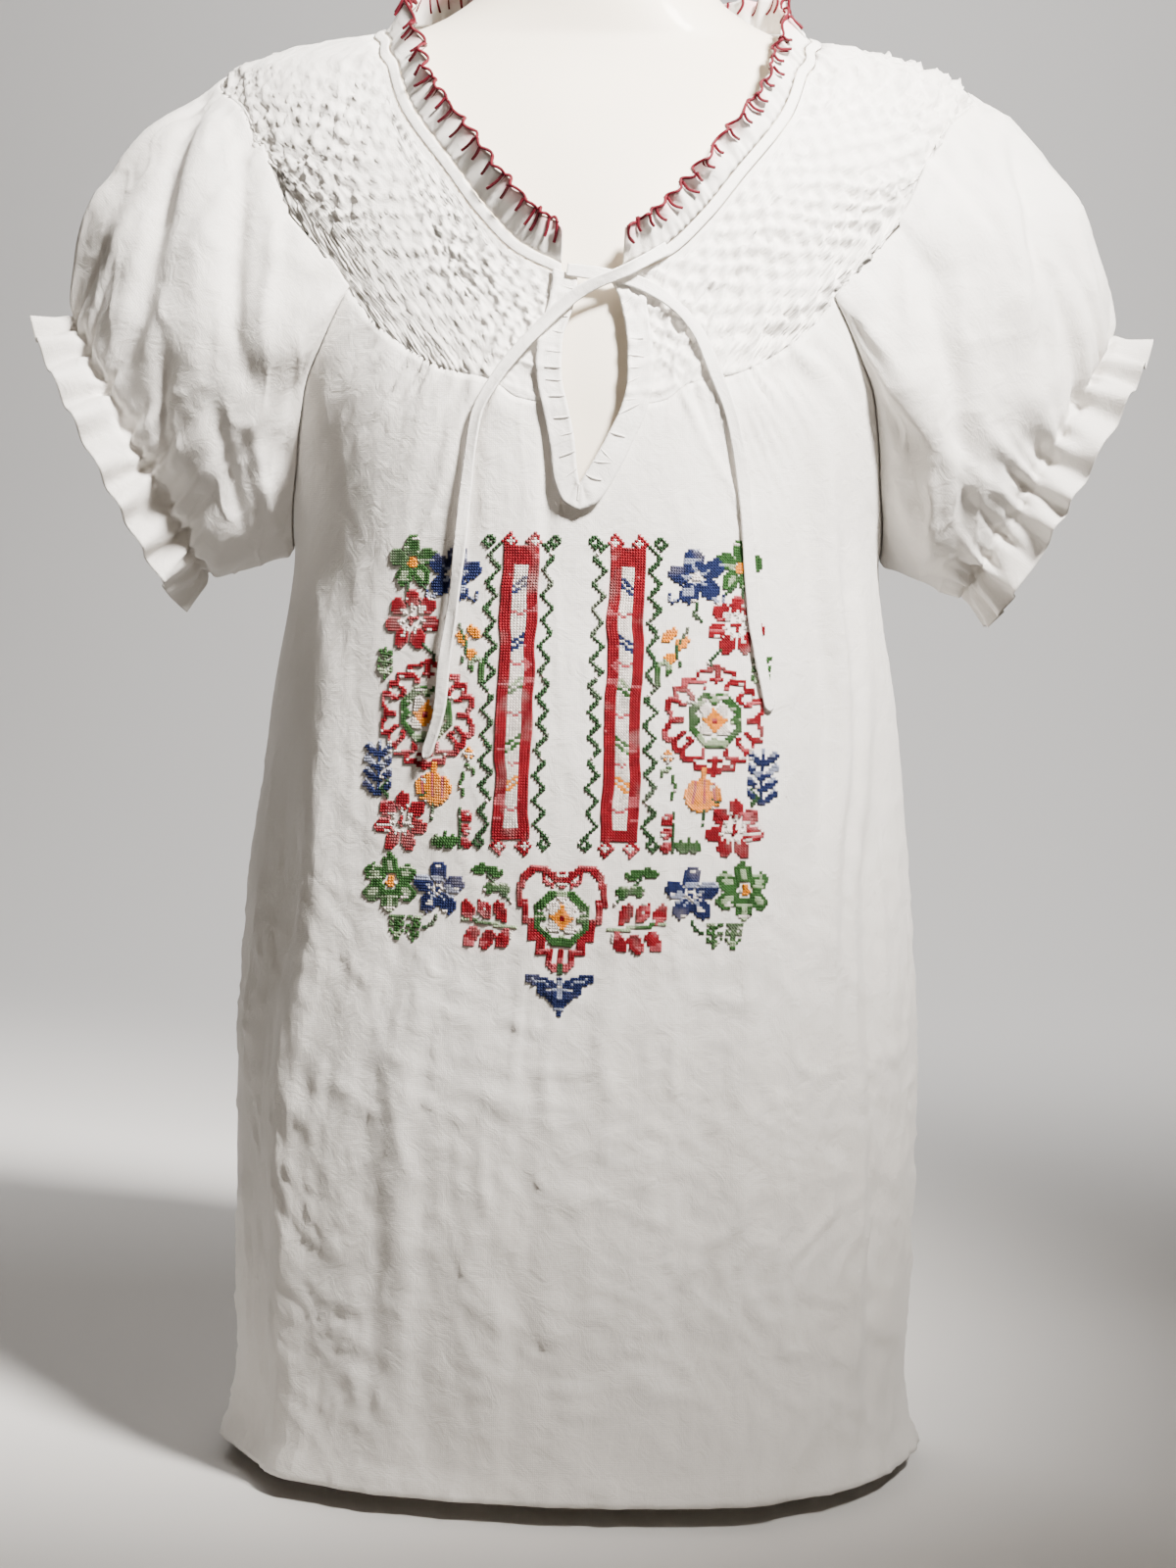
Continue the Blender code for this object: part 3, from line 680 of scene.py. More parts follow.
def makeFormCream():
    material, tree, shader = newMaterial(
        "formCream", (0.79, 0.715, 0.600), 0.50, Specular_IOR_Level=0.4, Coat_Weight=0.05
    )
    where = addNode(tree, "ShaderNodeTexCoord").outputs["Object"]
    cloud = addTexture(tree, "Noise", where, Scale=14.0, Detail=4.0)
    skin = addTexture(tree, "Noise", where, Scale=900.0, Detail=3.0)
    mixed = mixColour(tree, cloud.outputs["Fac"], (0.770, 0.700, 0.590), (0.81, 0.740, 0.635))
    tree.links.new(mixed, shader.inputs["Base Color"])
    addBump(tree, shader, skin.outputs["Fac"], 0.00008, 0.5)
    return material


cotton = makeCotton("whiteCotton", (0.83, 0.808, 0.778), (0.795, 0.768, 0.73))
ruffleCotton = makeCotton("stainedCotton", (0.83, 0.808, 0.778), (0.795, 0.768, 0.73), stained=True)
tape = makeCotton("cottonTape", (0.85, 0.83, 0.80), (0.80, 0.775, 0.74))
whiteThread = makeThread("whiteThread", (0.85, 0.83, 0.80), (0.74, 0.71, 0.68))
redThread = makeThread("redThread", (0.150, 0.004, 0.014), (0.060, 0.002, 0.008))
embroidery = makeEmbroideryThread()


def makeCamera():
    eye = bpy.data.objects.new("camera", bpy.data.cameras.new("camera"))
    bpy.context.scene.collection.objects.link(eye)
    eye.data.lens = camera["lens"]
    eye.data.clip_start = 0.05
    look = Vector(camera["aim"]) - Vector(camera["place"])
    eye.rotation_euler = look.to_track_quat("-Z", "Y").to_euler()
    eye.rotation_euler.rotate_axis("Z", math.radians(camera["roll"]))
    eye.location = camera["place"]
    bpy.context.scene.camera = eye


makeCamera()
print("camera made")

ties = {
    "width": 0.0056,
    "thickness": 0.0009,
    "steps": 220,
    "columns": 8,
    "twist": 0.35,
    "bead": 0.00022,  # the turned edge, then its stitches, then how the tape cups
    "whip": 0.00010,
    "cup": 0.0005,
    # distance from the middle, height, how far the tape's middle stands off the plain front
    "left": [
        (0.0330, 0.5770, 0.0028),
        (0.0155, 0.5660, 0.0088),
        (-0.0034, 0.5560, 0.0078),
        (-0.0233, 0.5370, 0.0048),
        (-0.0413, 0.5145, 0.0032),
        (-0.0493, 0.4980, 0.0030),
        (-0.0529, 0.4680, 0.0030),
        (-0.0549, 0.4425, 0.0032),
        (-0.0581, 0.4079, 0.0034),
        (-0.0611, 0.3856, 0.0034),
        (-0.0625, 0.3672, 0.0034),
        (-0.0686, 0.3440, 0.0034),
    ],
    "right": [
        (-0.0110, 0.5655, 0.0037),
        (0.0020, 0.5640, 0.0037),
        (0.0180, 0.5610, 0.0038),
        (0.0370, 0.5500, 0.0034),
        (0.0474, 0.5377, 0.0032),
        (0.0542, 0.5223, 0.0030),
        (0.0629, 0.5000, 0.0030),
        (0.0676, 0.4765, 0.0030),
        (0.0706, 0.4508, 0.0030),
        (0.0718, 0.4351, 0.0032),
        (0.0741, 0.4127, 0.0034),
        (0.0775, 0.3930, 0.0034),
        (0.0829, 0.3689, 0.0034),
    ],
}


# The tape lies flat on the cloth, and turns a little on its way down.
def makeTie(name, node, route, seed):
    x, z, lift = np.array(route).T
    plain = bodyPoints(angleAt(x, z, -1), z)
    plain[:, 0] = np.copysign(plain[:, 0], x)
    flatten = np.array([1, 1, 0])
    away = unit(plain * flatten)
    count = ties["steps"]
    length = np.linspace(0, 1, count + 1)
    line = along(plain + away * lift[:, None], length)
    runs = unit(np.gradient(line, axis=0))
    side = unit(np.cross(runs, unit(line * flatten)))
    out = unit(np.cross(side, runs))
    twist = noise(line, 0.035, seed) * ties["twist"]
    across = side * np.cos(twist)[:, None] + out * np.sin(twist)[:, None]
    face = np.cross(across, runs)
    shares = np.linspace(-1, 1, ties["columns"] + 1)
    taper = np.minimum(1, np.sqrt(np.clip((1 - length) / 0.012, 0.02, 1)))
    half = ties["width"] / 2 * (1 + 0.06 * noise(line, 0.012, seed + 1)) * taper

    def place(u, v):
        bead = ties["bead"] * np.exp(-(((np.abs(shares) - 0.86) / 0.12) ** 2))[None]
        whip = np.sin(2 * math.pi * length * count / 2.6)[:, None] * ties["whip"] * (np.abs(shares) > 0.7)
        cup = noise(line, 0.02, seed + 2)[:, None] * ties["cup"] * (shares**2 - 0.4)
        sideways = across[:, None] * (shares[None, :, None] * half[:, None, None])
        return line[:, None] + sideways + face[:, None] * (bead + whip + cup)[..., None]

    total = float(marksAlong(line)[-1])
    bm = bmesh.new()
    addGrid(bm, ties["columns"], count, place)
    u, v = np.meshgrid(shares * ties["width"] / 2, length * total)
    markCut(bm, np.column_stack([u.ravel(), v.ravel()]))
    bmesh.ops.recalc_face_normals(bm, faces=bm.faces[:])
    piece = addWall(link(name, takeMesh(bm, name)), ties["thickness"], 0.0)
    finishPiece(piece, tape, "tape", node)
    print(name, "length", round(total, 4))


makeTie("tieLeft", "tie_left", ties["left"], 41)
makeTie("tieRight", "tie_right", ties["right"], 46)

form = {
    "sides": 120,
    "levels": 150,
    "inset": 0.0036,
    "drop": 0.0036,
    "follows": (0.540, 0.692),
    # height, half width, front, back, squareness
    "low": [
        (0.000, 0.1200, 0.0800, 0.0850, 2.20),
        (0.050, 0.1340, 0.0910, 0.0950, 2.20),
        (0.110, 0.1480, 0.1000, 0.1030, 2.20),
        (0.180, 0.1430, 0.0960, 0.0990, 2.15),
        (0.260, 0.1130, 0.0790, 0.0800, 2.10),
        (0.330, 0.1150, 0.0850, 0.0800, 2.10),
        (0.400, 0.1270, 0.1020, 0.0850, 2.10),
        (0.455, 0.1330, 0.1150, 0.0890, 2.05),
        (0.505, 0.1480, 0.1120, 0.0920, 2.00),
    ],
    "neck": [
        (0.6995, 0.0740, 0.0440, 0.0610, 2.00),
        (0.7130, 0.0580, 0.0440, 0.0560, 2.00),
        (0.7350, 0.0545, 0.0460, 0.0520, 2.00),
        (0.7550, 0.0540, 0.0480, 0.0500, 2.00),
    ],
    # scale and height of the rings that close the neck
    "cap": [(0.985, 0.7572), (0.94, 0.7588), (0.84, 0.7597), (0.45, 0.760)],
    # share of the rings, height
    "heights": [
        (0.0, 0.0),
        (0.30, 0.260),
        (0.50, 0.455),
        (0.64, 0.590),
        (0.76, 0.655),
        (0.84, 0.678),
        (0.90, 0.692),
        (0.95, 0.713),
        (1.0, 0.755),
    ],
}


def makeDressForm():
    inset = form["inset"]
    followed = [
        (z - form["drop"], w - inset, front - inset, back - inset, square)
        for z, w, front, back, square in cloth["sections"]
        if form["follows"][0] <= z <= form["follows"][1]
    ]
    sections = form["low"] + followed + form["neck"]
    highest = form["neck"][-1][0]
    heights = smoothTable(form["heights"], np.linspace(0, 1, form["levels"] + 1))[:, 0]
    turns = np.linspace(-math.pi, math.pi, form["sides"] + 1)
    folded = np.where(np.abs(turns) <= math.pi / 2, turns, np.copysign(math.pi - np.abs(turns), turns))

    def ring(height, scale=1.0):
        points = bodyPoints(folded, np.full_like(folded, min(height, highest)), sections)
        points[:, 0] = np.copysign(points[:, 0], np.cos(turns)) * scale
        points[:, 1] *= scale
        points[:, 2] = height
        return points

    def place(u, v):
        rings = [ring(height) for height in heights]
        rings += [ring(height, scale) for scale, height in form["cap"]]
        return np.array(rings)

    bm = bmesh.new()
    addGrid(bm, form["sides"], form["levels"] + len(form["cap"]), place)
    bmesh.ops.remove_doubles(bm, verts=bm.verts[:], dist=1e-6)
    bmesh.ops.holes_fill(bm, edges=[e for e in bm.edges if e.is_boundary], sides=0)
    bmesh.ops.recalc_face_normals(bm, faces=bm.faces[:])
    piece = finishPiece(link("form", takeMesh(bm, "form")), makeFormCream(), "form", "dress_form")
    piece.data.set_sharp_from_angle(angle=math.radians(60))


makeDressForm()
print("form made")


# One stretch of a panel, between two values of v, on both sides of its middle.
def makePanel(name, panel, grid, stretch, replaced):
    bm = bmesh.new()
    cut = []
    for hand in (-1, 1):

        def place(u, v):
            angle, height = panelMap(panel, u, stretch[0] + (stretch[1] - stretch[0]) * v, hand)
            points, normals = surface(angle, height, hand)
            cut.append(points[..., [0, 2]].reshape(-1, 2))
            edge = smoothStep(1 - u, 0.0, cloth["seamFade"])[None, :]
            edge = np.minimum(edge + (1 - smoothStep(points[..., 2], 0.05, 0.12)) * 0.8, 1.0)
            out = points + normals * relief(points, panel, edge)[..., None]
            out[..., 1] = panel["side"] * np.maximum(cloth["seam"], panel["side"] * out[..., 1])
            return out

        new = addGrid(bm, *grid, place)
        if hand * panel["side"] > 0:
            turnOver(bm, new)
    markCut(bm, np.vstack(cut))
    bmesh.ops.remove_doubles(bm, verts=bm.verts[:], dist=2e-5)
    piece = addWall(link(name, takeMesh(bm, name)), cloth["wall"])
    finishPiece(piece, cotton, "cotton", *replaced)


def makePanels():
    for panel, name in ((frontPanel, "front"), (backPanel, "back")):
        split = sum(panel["rows"][:2]) / sum(panel["rows"])
        body, yoke = (0.0, split), (split, 1.0)
        makePanel(name + "_body", panel, panel["bodyGrid"], body, [name])
        makePanel(name + "_yoke", panel, panel["yokeGrid"], yoke, [])


makePanels()
print("panels made")


# Round threads along paths, joined in one mesh. Each path has as many normals as points.
def threadMesh(name, paths, normals, radius, sides=5, flat=1.0):
    turns = np.arange(sides) * 2 * math.pi / sides
    verts, faces, before = [], [], 0
    for path, normal in zip(paths, normals):
        run = unit(np.gradient(path, axis=0))
        side = unit(np.cross(run, normal))
        up = np.cross(side, run)
        ring = side[:, None] * np.cos(turns)[:, None] + up[:, None] * (np.sin(turns) * flat)[:, None]
        verts.append((path[:, None] + ring * radius).reshape(-1, 3))
        row = np.arange(len(path) - 1)[:, None] * sides + before
        k, after = np.arange(sides), (np.arange(sides) + 1) % sides
        quads = np.stack([row + k, row + after, row + sides + after, row + sides + k], -1)
        faces.append(quads.reshape(-1, 4))
        before += len(path) * sides
    mesh = bpy.data.meshes.new(name)
    mesh.from_pydata(np.vstack(verts).tolist(), [], np.vstack(faces).tolist())
    return mesh


# A smooth line through a few points, evenly stepped.
def bend(points, steps):
    points = np.array(points, float)
    return along(points, np.linspace(0, 1, steps + 1)) if len(points) > 2 else points


neck = {
    "casing": 0.0050,  # widths
    "ruffle": 0.0165,
    "lean": math.radians(32),
    "flutes": 25,
    "flute": 0.0026,
    "wall": 0.0008,
    "gap": 0.0005,
    "grids": {"neckCasing": (300, 6), "neckRuffle": (520, 10)},
}


# Half the neckline for x above 0: length, points, the way inwards and the way outwards.
def neckFrames():
    below, line = roundNeck(180, [0.97, 1.0])
    inwards = line - below
    forward = unit(np.gradient(line, axis=0))
    inwards = unit(inwards - forward * (inwards * forward).sum(1, keepdims=True))
    marks = marksAlong(line)
    inwards[:, 0] *= smoothStep(marks, -0.004, 0.028)
    for _ in range(14):
        inwards[1:-1] = (inwards[:-2] + 2 * inwards[1:-1] + inwards[2:]) / 4
    inwards = unit(inwards)
    return marks, line, inwards, unit(np.cross(forward, inwards))


neckFrame = neckFrames()
neckLength = neckFrame[0][-1]


def neckAt(t, hand):
    found = []
    for values in neckFrame[1:]:
        rows = np.stack([np.interp(t * neckLength, neckFrame[0], values[:, k]) for k in range(3)], -1)
        rows[..., 0] *= hand
        found.append(rows)
    return found


# The casing's face: a flat tape with a ridge and small puckers from its stitching.
def casingPoint(t, v, hand):
    point, inwards, outwards = neckAt(t, hand)
    ridge = 0.00035 * np.exp(-(((v - 0.86) / 0.09) ** 2)) + 0.0004 * np.sin(math.pi * v)
    puckers = np.sin(2 * math.pi * t * neckLength / 0.0034) * 0.00018 * (1 - v)
    up = inwards * (neck["gap"] + v * neck["casing"])[..., None]
    return point + up + outwards * (ridge + puckers + 0.0005)[..., None]


# The fluted ruffle's face; v is 0 at the casing and 1 at its free edge.
def rufflePoint(t, v, hand, lift=0.0):
    point, inwards, outwards = neckAt(t, hand)
    uneven = lineNoise(neckLength * t, hand, 0.016, 51)
    slow = lineNoise(neckLength * t, hand, 0.05, 52)
    phase = 2 * math.pi * (neck["flutes"] * t + 0.28 * uneven)
    wave = np.sin(phase) * neck["flute"] * (0.75 + 0.35 * uneven)
    lean = (neck["lean"] + 0.10 * slow)[..., None]
    rise = inwards * np.cos(lean) + outwards * np.sin(lean)
    out = outwards * np.cos(lean) - inwards * np.sin(lean)
    width = neck["ruffle"] * (1 + 0.05 * slow)
    start = point + inwards * (2 * neck["gap"] + neck["casing"])
    fine = np.sin(phase * 2.5) * 0.0004 * np.exp(-v / 0.3)
    swing = wave * v**1.15 + fine + lift
    return start + rise * (width * v)[..., None] + out * swing[..., None], out


def ruffleFace(t, v, hand):
    return rufflePoint(t, v, hand)[0]


def makeNeckPiece(name, node, material, slot, point):
    bm = bmesh.new()
    cut = []
    for hand in (-1, 1):

        def place(u, v):
            t, rise = np.meshgrid(u, v)
            cut.append(np.stack([t.ravel() * neckLength * hand, rise.ravel() * neck["ruffle"]], -1))
            return point(t, rise, hand)

        new = addGrid(bm, *neck["grids"][name], place)
        if hand > 0:
            turnOver(bm, new)
    markCut(bm, np.vstack(cut))
    piece = addWall(link(name, takeMesh(bm, name)), neck["wall"], 1.0)
    finishPiece(piece, material, slot, node)
    return piece


# Blotches of pink towards the ruffle's stitched edge.
def stainRuffle(mesh):
    columns, rows = neck["grids"]["neckRuffle"]
    rise = np.linspace(0, 1, rows + 1)[None, :, None] + np.zeros((2, 1, columns + 1))
    run = np.linspace(0, 1, columns + 1)[None, None] * 60 + np.array([0, 7.0])[:, None, None]
    mottled = 0.55 + 0.6 * lineNoise(run + 0 * rise, 0, 1.4, 53)
    setStain(mesh, np.clip(smoothStep(rise, 0.42, 1.0) * 0.55 * mottled, 0, 0.7))


def makeNeck():
    makeNeckPiece("neckCasing", "neck_casing", tape, "tape", casingPoint)
    ruffle = makeNeckPiece("neckRuffle", "neck_ruffle", ruffleCotton, "cotton", ruffleFace)
    stainRuffle(ruffle.data)


makeNeck()
print("neck made")

blanket = {
    # pairs are for the -x and +x sides
    "step": (0.0086, 0.0094),  # between knots
    "leg": (0.0080, 0.0072),
    "slant": (0.0004, 0.0024),
    "bow": (0.0003, 0.0011),
    "sag": (0.065, -0.035),
    "radius": 0.00078,
    "lifts": (0.0016, -0.0008),  # legs on the ruffle's two faces
}


def makeBlanketStitch():
    paths, normals = [], []

    def sew(length, v, hand, lift):
        thread, out = rufflePoint(np.clip(length / neckLength, 0, 1), v, hand, lift)
        paths.append(thread)
        normals.append(out)

    for side, hand in enumerate((-1, 1)):
        step, leg, slant, bow, sag = [blanket[name][side] for name in ("step", "leg", "slant", "bow", "sag")]
        knots = np.arange(0.002, neckLength - 0.001, step)
        knots = knots + lineNoise(knots, hand * 3, 0.004, 61) * step * 0.14
        for k, knot in enumerate(knots):
            wild = lineNoise(np.array([knot]), hand * 5.0, 0.003, 62)[0]
            share = np.linspace(0, 1, 9)
            lean = (0.0012 * wild + slant) * share**1.4 - bow * np.sin(math.pi * share)
            for lift in blanket["lifts"]:
                sew(knot + lean, 1.01 - share * leg * (1 + 0.20 * wild) / neck["ruffle"], hand, lift)
            if k + 1 < len(knots):
                share = np.linspace(0, 1, 15)
                v = 1.015 + sag * np.sin(math.pi * share) + 0.04 * wild * np.sin(2 * math.pi * share)
                sew(knot + (knots[k + 1] - knot) * share, v, hand, 0.0003)
    mesh = threadMesh("blanketStitch", paths, normals, blanket["radius"])
    finishPiece(link("blanketStitch", mesh), redThread, "red_thread")


makeBlanketStitch()
print("blanket stitch made")

keyhole = {
    "grid": (180, 9),
    "wall": 0.0008,
    "lift": 0.0016,
    "relief": 0.45,  # the band evens out what is under it
    "legStep": 0.0080,
    "thread": 0.00048,
    # inner edge: distance from its middle and height; outer edge the same
    "rows": [
        (0.0000, 0.4676, 0.0000, 0.4566),
        (0.0012, 0.4710, 0.0070, 0.4600),
        (0.0030, 0.4760, 0.0125, 0.4690),
        (0.0072, 0.4890, 0.0178, 0.4850),
        (0.0125, 0.5050, 0.0235, 0.5040),
        (0.0145, 0.5140, 0.0255, 0.5140),
        (0.0148, 0.5230, 0.0260, 0.5230),
        (0.0146, 0.5320, 0.0254, 0.5330),
        (0.0112, 0.5475, 0.0220, 0.5495),
        (0.0090, 0.5560, 0.0200, 0.5585),
        (0.0070, 0.5622, 0.0180, 0.5662),
    ],
}


# Along the band for u from -1 on the left to 1 on the right, across it for v.
def bandPlace(u, v, lift):
    rows = [(n / (len(keyhole["rows"]) - 1), *row) for n, row in enumerate(keyhole["rows"])]
    edgeX, edgeZ, bandX, bandZ = np.moveaxis(smoothTable(rows, np.abs(u)), -1, 0)
    shift = smoothTable(keyholeRows, edgeZ)[..., 1]
    x = np.sign(u) * (edgeX + (bandX - edgeX) * v) + shift
    z = edgeZ + (bandZ - edgeZ) * v
    neckZ = smoothTable(frontPanel["neck"], np.abs(x))[..., 0] - 0.0004
    return onFront(x, np.minimum(z, neckZ), lift, keyhole["relief"])


def makeKeyholeBand():
    cut = []

    def place(u, v):
        run, across = np.meshgrid(u * 2 - 1, v)
        cut.append(np.stack([run.ravel() * 0.1, across.ravel() * 0.011], -1))
        rolled = 0.0007 * np.exp(-((across / 0.14) ** 2)) + 0.0003 * np.exp(-(((across - 0.9) / 0.1) ** 2))
        wrinkle = 0.00030 * np.sin(run * 60 + 2 * np.sin(run * 17)) * np.sin(math.pi * across)
        return bandPlace(run, across, keyhole["lift"] + rolled + wrinkle)[0]

    bm = bmesh.new()
    addGrid(bm, *keyhole["grid"], place)
    markCut(bm, cut[0])
    piece = addWall(link("keyholeBand", takeMesh(bm, "keyholeBand")), keyhole["wall"])
    finishPiece(piece, tape, "tape", "keyhole_band")


def makeBandStitches():
    u = np.linspace(-1, 1, 200)
    rope, out = bandPlace(u, 0 * u + 0.02, keyhole["lift"] + 0.0006 + 0.0002 * np.sin(u * 260))
    paths, normals = [rope], [out]
    marks = marksAlong(rope)
    share = np.linspace(0, 1, 7)
    for length in np.arange(0.006, marks[-1] - 0.004, keyhole["legStep"]):
        uneven = lineNoise(np.array([length]), 0.0, 0.005, 71)[0]
        start = np.interp(length + 0.0012 * uneven, marks, u)
        slant = (0.03 + 0.03 * uneven) if start > 0 else -0.004
        lift = keyhole["lift"] + 0.0012 * (1 - 0.5 * share)
        leg, out = bandPlace(start + slant * share, 0.02 + 0.62 * share, lift)
        paths.append(leg)
        normals.append(out)
    mesh = threadMesh("bandStitches", paths, normals, keyhole["thread"])
    finishPiece(link("bandStitches", mesh), whiteThread, "tape")


makeKeyholeBand()
makeBandStitches()
print("keyhole band made")

sleeve = {
    "middle": np.array([0.2170, -0.005, 0.4905]),
    "up": unit(np.array([0.475, 0.0, 0.88])),
    "out": unit(np.array([0.88, 0.0, -0.475])),
    "halfLength": 0.070,
    "halfWidth": 0.034,
    "start": (-0.0012, 0.0008),
    # way and reach of the swell at the top, underneath, in front and behind
    "puff": [((0.8565, 0, 0.516), 0.019), ((0, 0, -1), 0.003), ((0, -1, 0), 0.017), ((0, 1, 0), 0.017)],
    "ruffle": 0.020,
    "flare": 0.007,
    "elastic": 0.0026,
    "flutes": 0.0046,
    "length": 0.12,  # of the map, armhole to cuff, then round it
    "girth": 0.34,
    "grid": (240, 110),
    "bodyShare": 9 / 11,
    # lines down the front: points (x, z), width, depth
    "left": [
        ([(-0.189, 0.667), (-0.2002, 0.619), (-0.2107, 0.5566), (-0.2218, 0.5134)], 0.0065, -0.0058),
        ([(-0.1837, 0.650), (-0.1829, 0.547), (-0.1850, 0.462)], 0.0130, 0.0036),
        ([(-0.1644, 0.640), (-0.1665, 0.5566), (-0.1580, 0.515)], 0.0055, -0.0042),
        ([(-0.2008, 0.5400), (-0.2017, 0.4640)], 0.0045, -0.0034),
        ([(-0.2150, 0.6150), (-0.2370, 0.5518)], 0.0075, 0.0030),
        ([(-0.1480, 0.6000), (-0.1490, 0.5300)], 0.0050, 0.0022),
        ([(-0.1740, 0.5050), (-0.1640, 0.4500)], 0.0045, -0.0026),
        ([(-0.1560, 0.4950), (-0.1500, 0.4480)], 0.0040, 0.0022),
    ],
    "right": [
        ([(0.1878, 0.6622), (0.1967, 0.5854), (0.2102, 0.5086)], 0.0110, 0.0036),
        ([(0.1999, 0.6440), (0.2057, 0.5950), (0.2115, 0.5420)], 0.0050, -0.0040),
        ([(0.1570, 0.5750), (0.1747, 0.4990), (0.1800, 0.4500)], 0.0075, -0.0064),
        ([(0.1440, 0.5860), (0.1475, 0.5400)], 0.0050, 0.0030),
        ([(0.2247, 0.6046), (0.2410, 0.5230)], 0.0075, 0.0030),
        ([(0.2186, 0.5750), (0.2303, 0.5000)], 0.0050, -0.0034),
        ([(0.1930, 0.5000), (0.1990, 0.4450)], 0.0050, 0.0030),
        ([(0.1600, 0.4850), (0.1640, 0.4450)], 0.0040, 0.0026),
    ],
    "behind": [
        ([(0.180, 0.650), (0.196, 0.580), (0.212, 0.500)], 0.0070, -0.0050),
        ([(0.162, 0.630), (0.168, 0.560), (0.176, 0.470)], 0.0090, 0.0036),
        ([(0.205, 0.620), (0.224, 0.560)], 0.0060, -0.0040),
    ],
}


def armholeLine(panel, t):
    rows = panel["rows"]
    v = (rows[0] + t * (rows[1] + rows[2])) / sum(rows)
    angle, height = panelMap(panel, np.array([0.98, 1.0]), v, 1)
    points = surface(angle, height, 1)[0]
    edge, away = points[:, 1], points[:, 1] - points[:, 0]
    run = unit(np.gradient(edge, axis=0))
    out = unit(np.cross(away, run))
    out *= np.sign((out * (edge - np.array([0, 0, 0.40]))).sum(1, keepdims=True))
    away = unit(away - run * (away * run).sum(1, keepdims=True))
    return edge + away * sleeve["start"][0] + out * sleeve["start"][1]


# Distance from a line of points in x and z, and how far along it, 0 to 1.
def lineDistance(x, z, line):
    line = bend(line, 8)
    best, share = np.full(x.shape, 9.0), np.zeros(x.shape)
    for k in range(len(line) - 1):
        a, b = line[k], line[k + 1]
        step = b - a
        t = np.clip(((x - a[0]) * step[0] + (z - a[1]) * step[1]) / (step @ step), 0, 1)
        far = np.hypot(x - a[0] - step[0] * t, z - a[1] - step[1] * t)
        share = np.where(far < best, (k + t) / (len(line) - 1), share)
        best = np.minimum(best, far)
    return best, share


def drawnFolds(points, lines):
    x, z = points[..., 0], points[..., 2]
    total = np.zeros(x.shape)
    for line, width, depth in lines:
        far, share = lineDistance(x, z, line)
        total += depth * np.exp(-((far / width) ** 2) * 1.2) * (0.35 + 0.65 * np.sin(math.pi * share))
    return total


# The sleeve without folds: u goes round from under the arm by the front, v from armhole to ruffle.
def sleeveShape(u, v):
    half = len(u) // 2
    frontHalf = armholeLine(frontPanel, np.linspace(0, 1, half + 1))
    backHalf = armholeLine(backPanel, np.linspace(1, 0, half + 1))
    start = np.vstack([frontHalf, backHalf[1:]])
    start[[0, half, -1], 1] = 0.0
    turn = 2 * math.pi * u
    up, forward = -np.cos(turn)[:, None], np.sin(turn)[:, None]
    front = np.array([0, -1, 0])
    cuff = sleeve["middle"] + sleeve["up"] * sleeve["halfLength"] * up
    cuff = cuff + front * sleeve["halfWidth"] * forward
    radial = sleeve["up"] * up + front * forward
    swell = np.zeros_like(cuff)
    for (way, reach), share in zip(sleeve["puff"], (up, -up, forward, -forward)):
        swell = swell + np.array(way) * reach * np.maximum(0, share)
    body = sleeve["bodyShare"]
    s = np.minimum(1.0, v / body)[:, None, None]
    past = np.maximum(0.0, v - body)[:, None, None] / (1 - body)
    points = start * (1 - s) + cuff * s + swell * np.maximum(np.sin(math.pi * s), 0) ** 0.85
    points = points + sleeve["out"] * sleeve["ruffle"] * past + radial * sleeve["flare"] * past
    return points, turn, s[..., 0], past[..., 0]


def ripples(turn, count, wander, depth):
    return np.cos(count * turn[None] + wander) * depth


